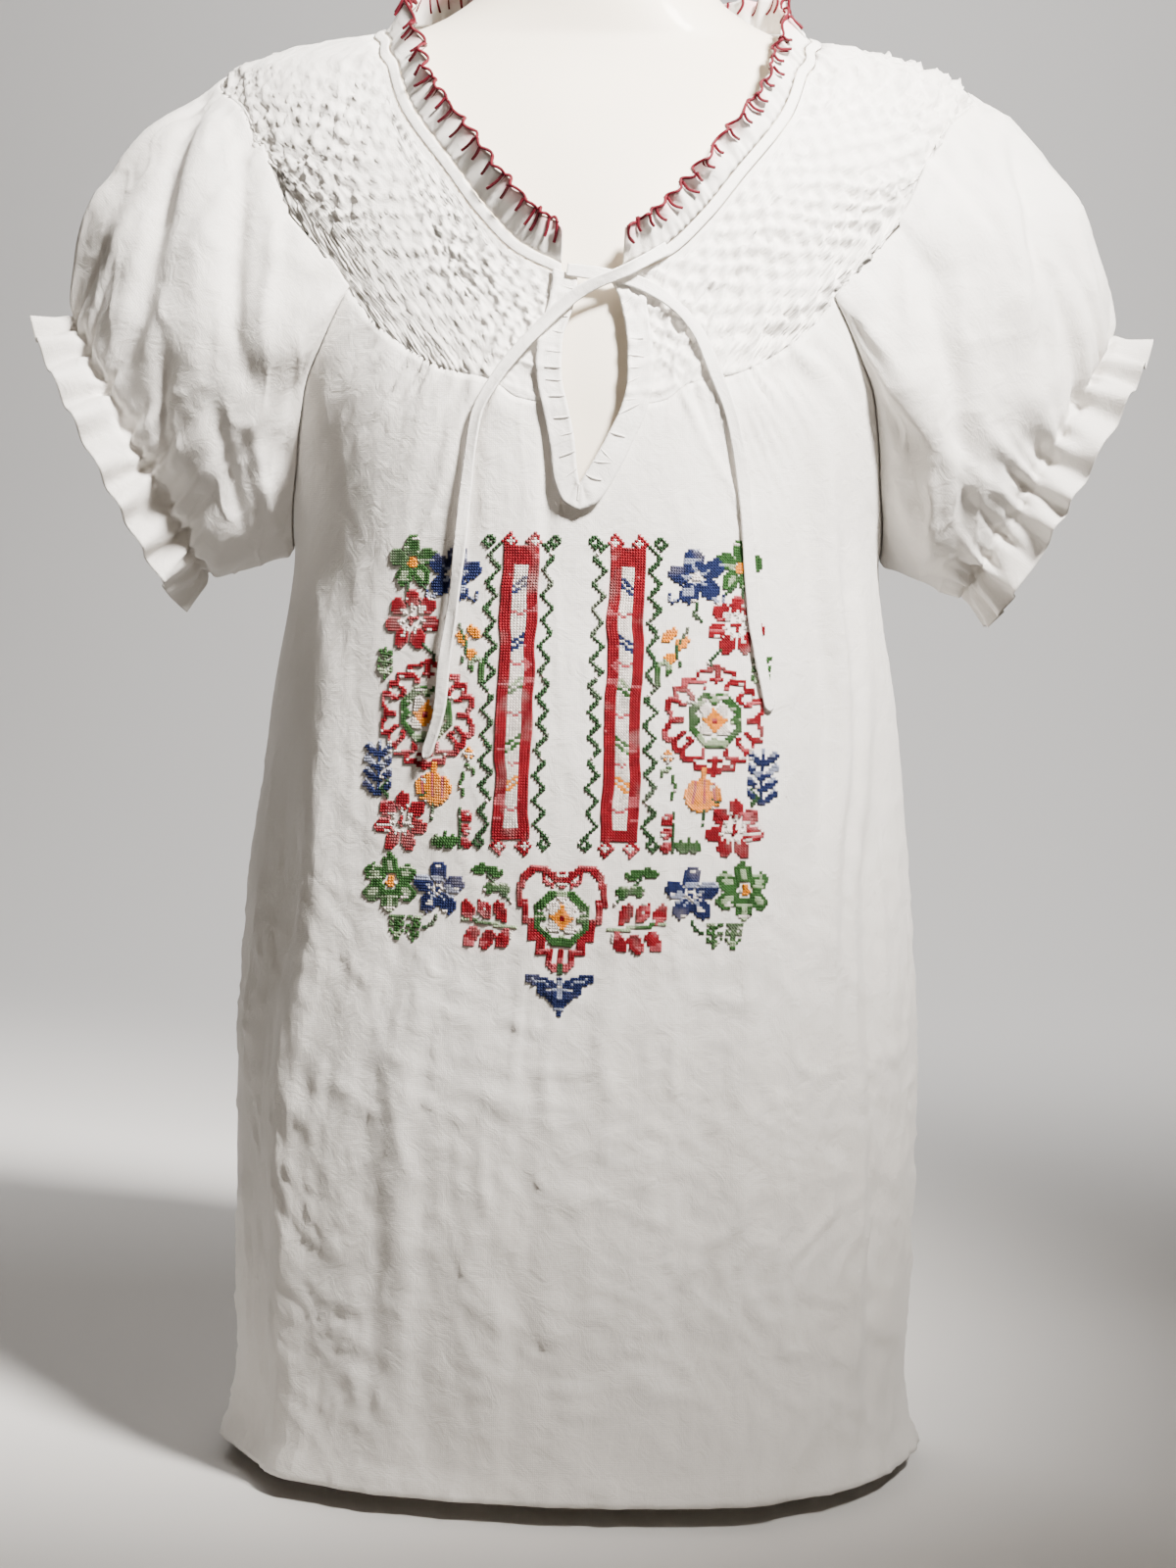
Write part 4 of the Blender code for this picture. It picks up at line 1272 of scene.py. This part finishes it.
# Folds, puckers and flutes. s is 0 at the armhole and 1 at the elastic, past is 1 at the ruffle's edge.
def sleeveRelief(points, turn, s, past, side):
    seen = smoothStep(np.sin(turn), 0.02, 0.35)[None]
    behind = smoothStep(-np.sin(turn), 0.02, 0.35)[None]
    mirrored = points * np.array([side, 1, 1])
    folds = drawnFolds(points, sleeve["left" if side < 0 else "right"]) * seen
    folds += drawnFolds(mirrored, sleeve["behind"]) * behind
    wraps = np.sin(7 * turn + 0.6 + 0.8 * side) * 0.0022 * np.abs(np.sin(turn / 2))
    ring = np.stack([np.cos(turn), np.sin(turn), 0 * turn + side * 3.0], -1)[None] * 0.055 + 0 * s[..., None]
    wander = noise(ring + s[..., None] * 0.03, 0.030, 81) * 1.1
    fine = noise(ring + s[..., None] * 0.004, 0.0075, 82)
    toCuff = (1 - s) * 0.11
    toArmhole = s * sleeve["length"]
    pucker = ripples(turn, 36, 4 * wander + 2.2 * fine, np.exp(-toCuff / 0.012) * 0.0021)
    pucker += ripples(turn, 17, 3 * wander, np.exp(-toCuff / 0.028) * 0.0026)
    cap = ripples(turn, 44, 3 * wander, np.exp(-toArmhole / 0.010) * 0.0007)
    cap += ripples(turn, 19, 3 * wander, np.exp(-toArmhole / 0.022) * 0.0011)
    elastic = -sleeve["elastic"] * np.exp(-(((s - 1.0) / 0.030) ** 2)) * np.exp(-((past / 0.14) ** 2))
    flutes = np.sin(18 * turn[None] + 2.6 * wander) * sleeve["flutes"] * past**0.9
    flutes += np.sin(31 * turn[None] + 2.0 * fine) * 0.0016 * np.exp(-past / 0.5) * (past > 0)
    keep = smoothStep(s, 0.0, 0.10)
    general = noise(points, 0.030, 83) * 0.0016 + noise(points, 0.011, 84) * 0.00035
    general += (creases(points, 0.016, 85, (0.8, 0.8, 2.2), 4) - 0.2) * 0.0008
    general += noise(points, 0.0046, 86) * 0.00007
    general += folds + wraps[None] * np.sin(math.pi * s)
    total = general * (1 - past) * keep * (1 - 0.75 * np.exp(-toCuff / 0.006))
    total += np.where(past > 0, pucker * np.exp(-past / 0.25), pucker + cap * keep)
    return total + elastic + flutes


def makeSleeve(side, name, node):
    cut = []

    def place(u, v):
        points, turn, s, past = sleeveShape(u, v)
        points[..., 0] *= side
        normals = unit(np.cross(np.gradient(points, axis=1), np.gradient(points, axis=0)))
        middle = points.mean(axis=1, keepdims=True)
        normals *= np.sign(((points - middle) * normals).sum(-1, keepdims=True) + 1e-12)
        normals[0] = normals[1]
        arc = u[None] * sleeve["girth"] + 0 * s
        cut.append(np.stack([arc, (s + past * 0.2) * sleeve["length"] + 0 * arc], -1).reshape(-1, 2))
        points = points + normals * sleeveRelief(points, turn, s, past, side)[..., None]
        points[:, -1] = points[:, 0]
        return points

    bm = bmesh.new()
    addGrid(bm, *sleeve["grid"], place)
    markCut(bm, cut[0])
    bmesh.ops.remove_doubles(bm, verts=bm.verts[:], dist=1e-6)
    if side > 0:
        bmesh.ops.reverse_faces(bm, faces=bm.faces[:])
    piece = addWall(link(name, takeMesh(bm, name)), cloth["wall"])
    finishPiece(piece, cotton, "cotton", node)


makeSleeve(-1, "sleeveLeft", "sleeve_left")
makeSleeve(1, "sleeveRight", "sleeve_right")
print("sleeves made")


stitch = {
    "cell": 0.00125,
    "top": 0.4480,
    "rows": 176,
    "columns": 86,  # on each side of the middle
    "bars": 24.0,  # middle of the red bars, in millimetres
    # height, and where the pattern's middle is
    "axis": [(0.20, -0.0088), (0.24, -0.0078), (0.44, -0.0053), (0.46, -0.0050)],
    "colours": {  # thread by letter
        "r": (0.235, 0.006, 0.014),
        "k": (0.430, 0.085, 0.100),  # red in a paler row
        "g": (0.034, 0.100, 0.026),
        "d": (0.030, 0.075, 0.030),
        "p": (0.330, 0.420, 0.270),
        "n": (0.014, 0.022, 0.085),
        "l": (0.300, 0.330, 0.450),
        "y": (0.760, 0.260, 0.014),
        "w": (0.800, 0.740, 0.700),
    },
}
codes = ".rkgdpnlyw"
chart = np.zeros((stitch["rows"], stitch["columns"]), int)
cellX = (np.arange(stitch["columns"]) + 0.5) * stitch["cell"] * 1000  # from the middle, along the cloth
cellZ = stitch["top"] * 1000 - (np.arange(stitch["rows"]) + 0.5) * stitch["cell"] * 1000
gridX, gridZ = np.meshgrid(cellX, cellZ)


# All places are in millimetres from the motif's middle, which is set by at().
origin = [0.0, 0.0]


def at(x, z):
    # the cloth curves away, so it is longer than it looks from the front
    origin[:] = [x * (1 + 0.052 * (x / 85) ** 2), z]


def fill(inside, code):
    chart[inside] = codes.index(code)


def blob(x, z, rx, rz, code, turn=0.0):
    c, s = math.cos(math.radians(turn)), math.sin(math.radians(turn))
    dx, dz = gridX - origin[0] - x, gridZ - origin[1] - z
    fill(((dx * c + dz * s) / rx) ** 2 + ((dz * c - dx * s) / rz) ** 2 <= 1.0, code)


def box(x, z, rx, rz, code):
    fill((abs(gridX - origin[0] - x) <= rx) & (abs(gridZ - origin[1] - z) <= rz), code)


def diamond(x, z, rx, rz, code):
    fill(abs(gridX - origin[0] - x) / rx + abs(gridZ - origin[1] - z) / rz <= 1.0, code)


def eight(x, z, radius, code):
    dx, dz = abs(gridX - origin[0] - x), abs(gridZ - origin[1] - z)
    fill(np.maximum(np.maximum(dx, dz), (dx + dz) * 0.72) <= radius, code)


def path(points, code, half=0.62):
    for a, b in zip(points, points[1:]):
        ax, az = origin[0] + a[0], origin[1] + a[1]
        sx, sz = b[0] - a[0], b[1] - a[1]
        t = np.clip(((gridX - ax) * sx + (gridZ - az) * sz) / (sx * sx + sz * sz), 0, 1)
        fill(np.hypot(gridX - ax - sx * t, gridZ - az - sz * t) <= half, code)


# The same line on both sides of the motif's middle.
def pair(points, code, half=0.62):
    for side in (-1, 1):
        path([(side * x, z) for x, z in points], code, half)


def petals(count, reach, long, wide, code, first=90.0, skip=()):
    for k in range(count):
        if k not in skip:
            turn = first + 360.0 * k / count
            c, s = math.cos(math.radians(turn)), math.sin(math.radians(turn))
            blob(reach * c, reach * s, long, wide, code, turn)


def cross(x, z, arm, code, half=0.7):
    box(x, z, arm, half, code)
    box(x, z, half, arm, code)


def roundFlower(code, heart, size=1.0):
    petals(7, 9.3 * size, 4.4 * size, 3.5 * size, code, 90)
    petals(7, 5.2 * size, 1.6, 1.1, "w", 90)
    cross(0, 0, 2.6 * size, heart)


def medallion():
    upper = [
        (0, 24.0), (5, 21.4), (9, 21.4), (9, 17.6), (14.6, 17.6), (14.6, 13.8), (18.4, 13.8),
        (18.4, 8.8), (22.0, 8.8), (22.0, 4.0),
    ]
    pair(upper + [(19.4, 0)] + [(x, -z) for x, z in reversed(upper)], "r", 0.98)
    pair([(19.4, 0), (15.4, 0)], "r", 0.9)
    for z in (-1, 1):
        pair([(14.6, z * 13.6), (10.6, z * 9.6), (12.4, z * 8.0)], "r", 0.9)
        pair([(18.4, z * 8.8), (15.0, z * 6.2)], "r", 0.9)
        pair([(9, z * 17.6), (5.4, z * 16.4), (5.4, z * 13.8)], "r", 0.9)
        path([(0, z * 24.0), (0, z * 17.2)], "r", 0.9)
        path([(-2.6, z * 18.2), (2.6, z * 18.2)], "r", 0.7)
    rosette("y")


def rosette(heart):
    eight(0, 0, 12.6, "g")
    eight(0, 0, 9.6, ".")
    petals(4, 4.8, 4.2, 3.0, "w", 45)
    for k in range(4):
        turn = math.radians(90 * k)
        x, z = 9.2 * math.cos(turn), 9.2 * math.sin(turn)
        diamond(x, z, 2.2, 2.2, "g")
    diamond(0, 0, 5.4, 5.4, heart)
    cross(0, 0, 5.8, heart, 0.7)
    blob(0, 0, 1.3, 1.3, "r")


def bars():
    middle, low, high = stitch["bars"], 309.0, 440.0
    at(middle, 0)
    height = (gridZ > low) & (gridZ < high)
    across = abs(gridX - origin[0])
    fill((abs(across - 5.6) <= 2.6) & height, "r")
    inner = (across <= 2.9) & height
    fill(inner, "w")
    fill(inner & ((gridZ > 432.0) | (gridZ < 314.5)), "r")
    for z, code in ((423, "n"), (397.5, "n"), (378, "g"), (352.5, "g"), (334.5, "y")):
        at(middle, z)
        path([(-2.6, 3.4), (2.6, -0.2)], code, 0.75)
        path([(-2.6, 0.4), (2.6, -3.4)], code, 0.75)
    for z in (410.5, 387.5, 365.5, 343.5, 322.5):
        at(middle, z)
        path([(-2.4, 0.8), (0, -0.8), (2.4, 0.8)], "k", 0.55)
    for x, way in ((11.6, -1), (36.4, 1)):  # zigzags on each side
        at(x, 0)
        path([((2.4 if k % 2 else -2.4) * way, high + 1.5 - k * 5.7) for k in range(24)], "d", 0.66)
    for x in (9.2, 38.8):
        for z in (high + 2.5, low - 1.5):
            at(x, z)
            blob(0, 0, 2.7, 2.7, "d")
            blob(0, 0, 1.3, 1.3, ".")
    for z in (442.5, 306.0):
        for x in (-5.6, 5.6):
            at(middle + x, z)
            diamond(0, 0, 3.8, 4.2, "r")
            diamond(0, 0, 1.9, 2.0, "w")


def drawChart():
    at(73.0, 432.9)  # green flower
    petals(5, 7.4, 5.0, 3.9, "g", 90)
    petals(5, 7.2, 2.6, 1.7, "p", 90, skip=(0, 1, 4))
    blob(0, 0, 2.4, 2.4, "y")
    path([(3, -9), (2, -14), (-4, -17)], "d")
    path([(-3, -9), (-8, -13)], "d")
    at(54.5, 428.1)  # navy flower
    petals(5, 7.8, 5.2, 4.3, "n", 100)
    petals(5, 4.4, 2.2, 0.8, "l", 100)
    blob(0, 0, 1.9, 1.9, "w")
    path([(-8, -10), (-12, -12), (-13, -8)], "n", 0.5)
    path([(8, -10), (12, -12), (13, -7)], "n", 0.5)
    path([(0, -12), (-1, -17), (3, -20)], "d", 0.6)
    at(72.6, 407.1)  # red flower
    roundFlower("r", "r")
    path([(-7, -11), (-13, -17), (-11, -20)], "d")
    at(46.4, 397.0)  # yellow leaves
    blob(-3.0, 5.2, 3.6, 2.3, "y", 35)
    blob(3.0, 1.6, 3.6, 2.3, "y", 35)
    blob(-1.5, -5.0, 3.6, 2.3, "y", 35)
    path([(5, 8), (1, 0), (2, -9)], "d", 0.6)
    at(83.8, 386.5)  # fern
    for k in range(3):
        pair([(0, -5 + 4 * k), (4, -2 + 4 * k)], "g", 0.9)
    path([(0, -6), (0, 7)], "g", 0.7)
    at(42.0, 384.3)  # hook
    path([(-2.6, -5), (-2.6, 4), (0, 6.4), (2.6, 4), (2.2, 0)], "g", 0.75)
    at(64.2, 364.5)
    medallion()
    at(85.2, 339.1)  # navy sprig
    path([(0, 12), (0, -12)], "n", 0.9)
    for k in range(4):
        z = 8 - 5.6 * k
        pair([(0, z - 2.5), (6.5, z + 1.5)], "n", 1.25)
        pair([(4, z + 1.6), (6.5, z + 3.2)], "l", 0.6)
    at(59.9, 330.3)  # tulip
    blob(0, 0.5, 8.6, 7.6, "y")
    box(0, 9.5, 1.6, 3.0, "y")
    for x in (-5.0, 0, 5.0):
        box(x, 2.0, 0.65, 6.0, "k")
    for x in (-4.4, 4.4):
        box(x, 7.6, 1.3, 1.4, ".")
    path([(0, -7), (0, -13)], "d", 0.7)
    at(43.9, 347.4)
    diamond(0, 0, 3.1, 3.4, "y")
    at(43.7, 340.4)
    path([(-2, -2), (-2, 1), (1.6, 1.6)], "g", 0.7)
    at(46.4, 334.0)
    path([(0, -5), (0.6, 0), (0, 5)], "g", 0.6)
    at(73.9, 315.4)  # red flower
    roundFlower("r", "r", 0.98)
    path([(7, 11), (11, 15), (8, 18)], "d")
    path([(-8, 11), (-12, 14)], "d")
    at(44.9, 313.2)  # three blocks
    for k in (-1, 0, 1):
        blob(0, k * 6.0, 3.3, 2.4, "r", 20)
    path([(2.6, 9), (2.6, -9)], "d", 0.5)
    at(54.3, 306.6)
    blob(-2.9, 0.6, 3.6, 2.4, "g", 150)
    blob(2.9, 0.6, 3.6, 2.4, "g", 30)
    path([(0, -1), (0, 5)], "g", 0.6)
    at(77.8, 287.8)  # green flower
    petals(6, 8.4, 5.0, 4.0, "g", 90)
    petals(6, 8.2, 2.7, 1.6, "p", 90)
    cross(0, 0, 2.4, "y")
    at(56.3, 285.6)  # navy flower
    petals(5, 7.6, 5.0, 4.0, "n", 90)
    petals(5, 4.2, 1.8, 0.7, "l", 90)
    diamond(0, 0, 2.6, 2.6, "w")
    diamond(0, 0, 1.3, 1.3, "n")
    path([(0, -11), (2, -16), (6, -17)], "d", 0.6)
    at(70.5, 267.2)  # ferns
    for x in (-4.5, 4.5):
        path([(x, -5), (x, 5)], "g", 0.7)
        for z in (-3.5, 0, 3.5):
            path([(x - 3, z + 2), (x, z), (x + 3, z + 2)], "g", 0.7)
    at(34.6, 294.4)  # leaves beside the heart
    blob(-3.4, 0, 3.9, 2.4, "g", 15)
    blob(3.6, 0.8, 3.6, 2.2, "g", 165)
    path([(0, -1), (-6, -9), (-12, -13)], "d", 0.6)
    at(29.5, 286.5)
    blob(-3.2, 0.4, 3.2, 2.2, "g", 15)
    blob(3.2, 0.4, 3.2, 2.2, "g", 165)
    at(34.0, 270.3)  # spray
    path([(12, 2.6), (0, 0.6), (-13, -0.6)], "g", 0.75)
    for k in (-1, 0, 1):
        blob(k * 7.6 + 1.4, 7.2 - abs(k) * 0.8, 3.0, 5.0, "r", -28)
        blob(k * 7.6 - 0.4, -6.4 + abs(k) * 0.8, 3.0, 5.0, "r", 28)
    at(0, 274.6)  # heart
    outline = [
        (0, 15.0), (3.4, 18.8), (8.2, 22.4), (13.0, 22.4), (17.0, 18.6), (18.6, 13.6), (18.6, 6.6),
        (16.2, 6.6), (16.2, -1.4), (13.4, -1.4), (13.4, -8.6), (9.6, -8.6), (9.6, -15.2), (5.2, -15.2),
        (5.2, -20.6), (0, -23.4),
    ]
    path(outline, "r", 1.55)
    path([(13.4, -8.6), (9.2, -5.2)], "r", 0.9)
    path([(0, -23.4), (0, -15.6)], "r", 1.1)
    path([(0, 15.0), (0, 20.0)], "r", 0.9)
    path([(8.4, 22.4), (8.4, 17.4), (4.4, 14.6)], "r", 0.9)
    rosette("y")
    at(0, 241.3)  # tulip below
    blob(8.4, 4.6, 7.4, 2.5, "n", 16)
    blob(5.6, -1.2, 5.4, 1.9, "n", 34)
    diamond(0, -2.0, 4.8, 10.5, "n")
    box(0, 1.0, 0.65, 4.5, "l")
    path([(6.0, 4.0), (12.0, 5.6)], "l", 0.6)
    path([(0, 8), (0, 12.5)], "d", 0.7)
    bars()


drawChart()


# Which rows of a solid patch were worked in a paler length of thread, and which crosses are worn.
def paleRows():
    place = np.stack([gridX * 0.30, gridZ * 1.0, 0 * gridX], -1)
    streak = noise(place, 2.2, 91)
    onBar = (np.abs(gridX - stitch["bars"]) < 9.5) & (gridZ > 308)
    for solid, pale in (("r", "k"), ("n", "l"), ("g", "p")):
        chart[(streak > np.where(onBar, 1.0, 0.72)) & (chart == codes.index(solid))] = codes.index(pale)
    worn = noise(place + 40.0, 1.3, 92) > np.where(onBar, 1.5, 1.15)
    chart[worn & (chart > 0)] = codes.index("w")


paleRows()


# Corners of the chart's cells on the cloth, as many across the curve as along a plain sheet.
def stitchGrid():
    cell, rows, columns = stitch["cell"], stitch["rows"], stitch["columns"]
    z = stitch["top"] - np.arange(rows + 1) * cell
    axis = smoothTable(stitch["axis"], z)[:, 0]
    across = np.linspace(0, 0.118, 90)
    x, level = np.meshgrid(across, z)
    plain = bodyPoints(angleAt(x, level, -1), level)
    signed = (np.arange(2 * columns + 1) - columns) * cell
    cornerX = np.zeros((rows + 1, 2 * columns + 1))
    for r in range(rows + 1):
        lengths = marksAlong(plain[r])
        place = signed + np.copysign(np.interp(abs(axis[r]), across, lengths), axis[r])
        cornerX[r] = np.copysign(np.interp(np.abs(place), lengths, across), place)
    cornerZ = np.repeat(z[:, None], 2 * columns + 1, axis=1)
    wander = noise(np.stack([cornerX, cornerZ, 0 * cornerX], -1), 0.012, 95) * 0.0005
    return onFront(cornerX + wander, cornerZ + wander * 0.6, 0.00035)


thread = {
    "half": (0.00034, 0.00046),  # off the cloth and along it
    "lifts": (0.00030, 0.00056),  # the first arm of a cross and the one over it
    "reach": 0.57,  # of a cell's diagonal
    "sunk": 0.00018,
    "split": -0.0065,  # where the two pieces part
}


def makeCrossStitch():
    corners, normals = stitchGrid()
    both = np.concatenate([chart[:, ::-1], chart], axis=1)
    r, c = np.nonzero(both)
    print("crosses", len(r))
    palette = np.array([(0, 0, 0)] + [stitch["colours"][k] for k in codes[1:]])
    a, b, d, e = corners[r, c], corners[r, c + 1], corners[r + 1, c], corners[r + 1, c + 1]
    out = unit(normals[r, c])
    uneven = noise(np.stack([r * 1.0, c * 1.0, 0.0 * r], -1), 0.8, 96)
    shade = 1 + 0.16 * uneven + 0.10 * noise(np.stack([r * 0.3, c * 1.0, 0.0 * r], -1), 2.0, 97)
    tint = palette[both[r, c]] * shade[:, None]

    verts, faces, colours, before = [], [], [], 0
    for (start, end), lift in zip(((d, b), (a, e)), thread["lifts"]):
        middle = (start + end) / 2
        reach = (end - start) * thread["reach"]
        side = unit(np.cross(unit(reach), out))
        rings = []
        for share, rise in ((-1.0, -thread["sunk"]), (0.0, lift), (1.0, -thread["sunk"])):
            centre = middle + reach * share * 0.92 + out * rise
            for turn in np.radians((0.0, 120.0, 240.0)):
                off, sideways = math.cos(turn) * thread["half"][0], math.sin(turn) * thread["half"][1]
                rings.append(centre + out * off + side * sideways)
        verts.append(np.stack(rings, 1).reshape(-1, 3))
        colours.append(np.repeat(tint, 9, axis=0))
        base = np.arange(len(r))[:, None] * 9 + before
        for ring in (0, 3):
            for k in range(3):
                n = (k + 1) % 3
                faces.append(base + np.array([ring + k, ring + 3 + k, ring + 3 + n, ring + n])[None])
        before += len(r) * 9
    under = np.stack([a, b, e, d], 1) - out[:, None] * 0.0001  # cloth seen through the cross, given the thread's colour darkened to 0.72 as painted shade between its arms
    verts.append(under.reshape(-1, 3))
    colours.append(np.repeat(tint * 0.72, 4, axis=0))
    faces.append(np.arange(len(r))[:, None] * 4 + before + np.array([[3, 2, 1, 0]]))
    verts, colours, faces = np.vstack(verts), np.vstack(colours), np.vstack(faces)
    onLeft = verts[faces[:, 0], 0] < thread["split"]
    for name, keep in (("stitchesLeft", onLeft), ("stitchesRight", ~onLeft)):
        used = np.unique(faces[keep])
        index = np.zeros(len(verts), int)
        index[used] = np.arange(len(used))
        mesh = bpy.data.meshes.new(name)
        mesh.from_pydata(verts[used].tolist(), [], index[faces[keep]].tolist())
        layer = mesh.color_attributes.new("thread", "FLOAT_COLOR", "POINT")
        full = np.column_stack([colours[used], np.ones(len(used))])
        layer.data.foreach_set("color", full.astype(np.float32).ravel())
        finishPiece(link(name, mesh), embroidery, "embroidery")
    return both, corners


stitched, stitchCorners = makeCrossStitch()


# Pink where the red has run into the cloth.
def stainCloth():
    body = bpy.data.objects["front_body"]
    verts = np.zeros(len(body.data.vertices) * 3, np.float32)
    body.data.vertices.foreach_get("co", verts)
    verts = verts.reshape(-1, 3).astype(float)
    red = (stitched == codes.index("r")) | (stitched == codes.index("k"))
    soft = red.astype(float)
    for _ in range(5):
        beside = soft[:-2, 1:-1] + soft[2:, 1:-1] + soft[1:-1, :-2] + soft[1:-1, 2:]
        soft[1:-1, 1:-1] = (soft[1:-1, 1:-1] * 2 + beside) / 6
    r = (stitch["top"] - verts[:, 2]) / stitch["cell"]
    row = np.clip(r.astype(int), 0, stitch["rows"] - 1)
    column = np.abs(stitchCorners[row, :, 0] - verts[:, :1]).argmin(1)
    inside = (r > 0) & (r < stitch["rows"]) & (verts[:, 1] < -0.02)
    inside &= (column > 1) & (column < 2 * stitch["columns"] - 1)
    value = np.where(inside, soft[row, np.clip(column, 0, soft.shape[1] - 1)], 0.0)
    setStain(body.data, value * 0.40 * np.clip(0.75 + 0.6 * noise(verts, 0.02, 98), 0, 1.4))
    body.data.materials[0] = ruffleCotton


stainCloth()
print("cross stitch made")

studio = {
    "width": 12.0,
    "floor": (-5.0, 2.0),  # from the front to where it bends up
    "bend": 1.5,
    "wall": 5.0,
    "colour": (0.80, 0.79, 0.78),
    "world": ((1.0, 0.86, 0.70, 1.0), 0.09),
    # name, place, aim, size, power, colour, spread in degrees
    "lights": [
        ("key", (0.80, -1.10, 1.78), (0.0, 0.0, 0.60), 0.34, 9.0, (1.0, 0.950, 0.890), 31),
        ("fill", (-0.3, -1.9, 1.1), (0.0, 0.0, 0.45), 1.2, 2.0, (1.0, 0.86, 0.70), 180),
        ("rear", (-0.9, 1.5, 2.0), (-0.1, 0.3, 0.3), 1.2, 11.0, (1.0, 0.975, 0.95), 180),
        ("back", (0.3, 1.3, 1.9), (0.0, 3.5, 0.9), 1.4, 55.0, (1.0, 0.99, 0.98), 180),
    ],
}


def makeStage():
    bm = bmesh.new()
    bmesh.ops.create_grid(bm, x_segments=1, y_segments=40, size=0.5)
    near, far = studio["floor"]
    bend = studio["bend"]
    for vert in bm.verts:
        t = (vert.co.y + 0.5) * 3.0  # floor, bend, wall
        turn = np.clip(t - 1, 0, 1) * math.pi / 2
        y = near + (far - near) * min(t, 1) + bend * math.sin(turn)
        z = bend * (1 - math.cos(turn)) + studio["wall"] * max(t - 2, 0)
        vert.co = (vert.co.x * studio["width"], y, z)
    backdrop = link("backdrop", takeMesh(bm, "backdrop"))
    backdrop.data.shade_smooth()
    backdrop.data.materials.append(newMaterial("backdrop", studio["colour"], 0.9)[0])


def makeLights():
    for name, place, aim, size, power, colour, spreadAngle in studio["lights"]:
        light = bpy.data.lights.new(name, "AREA")
        light.shape, light.size, light.energy, light.color = "DISK", size, power, colour
        light.spread = math.radians(spreadAngle)
        lamp = link(name, light)
        lamp.location = place
        lamp.rotation_euler = (Vector(aim) - Vector(place)).to_track_quat("-Z", "Y").to_euler()
    world = bpy.data.worlds.new("studio")
    world.use_nodes = True
    background = world.node_tree.nodes["Background"].inputs
    background["Color"].default_value, background["Strength"].default_value = studio["world"]
    bpy.context.scene.world = world


makeStage()
makeLights()
print("studio made")
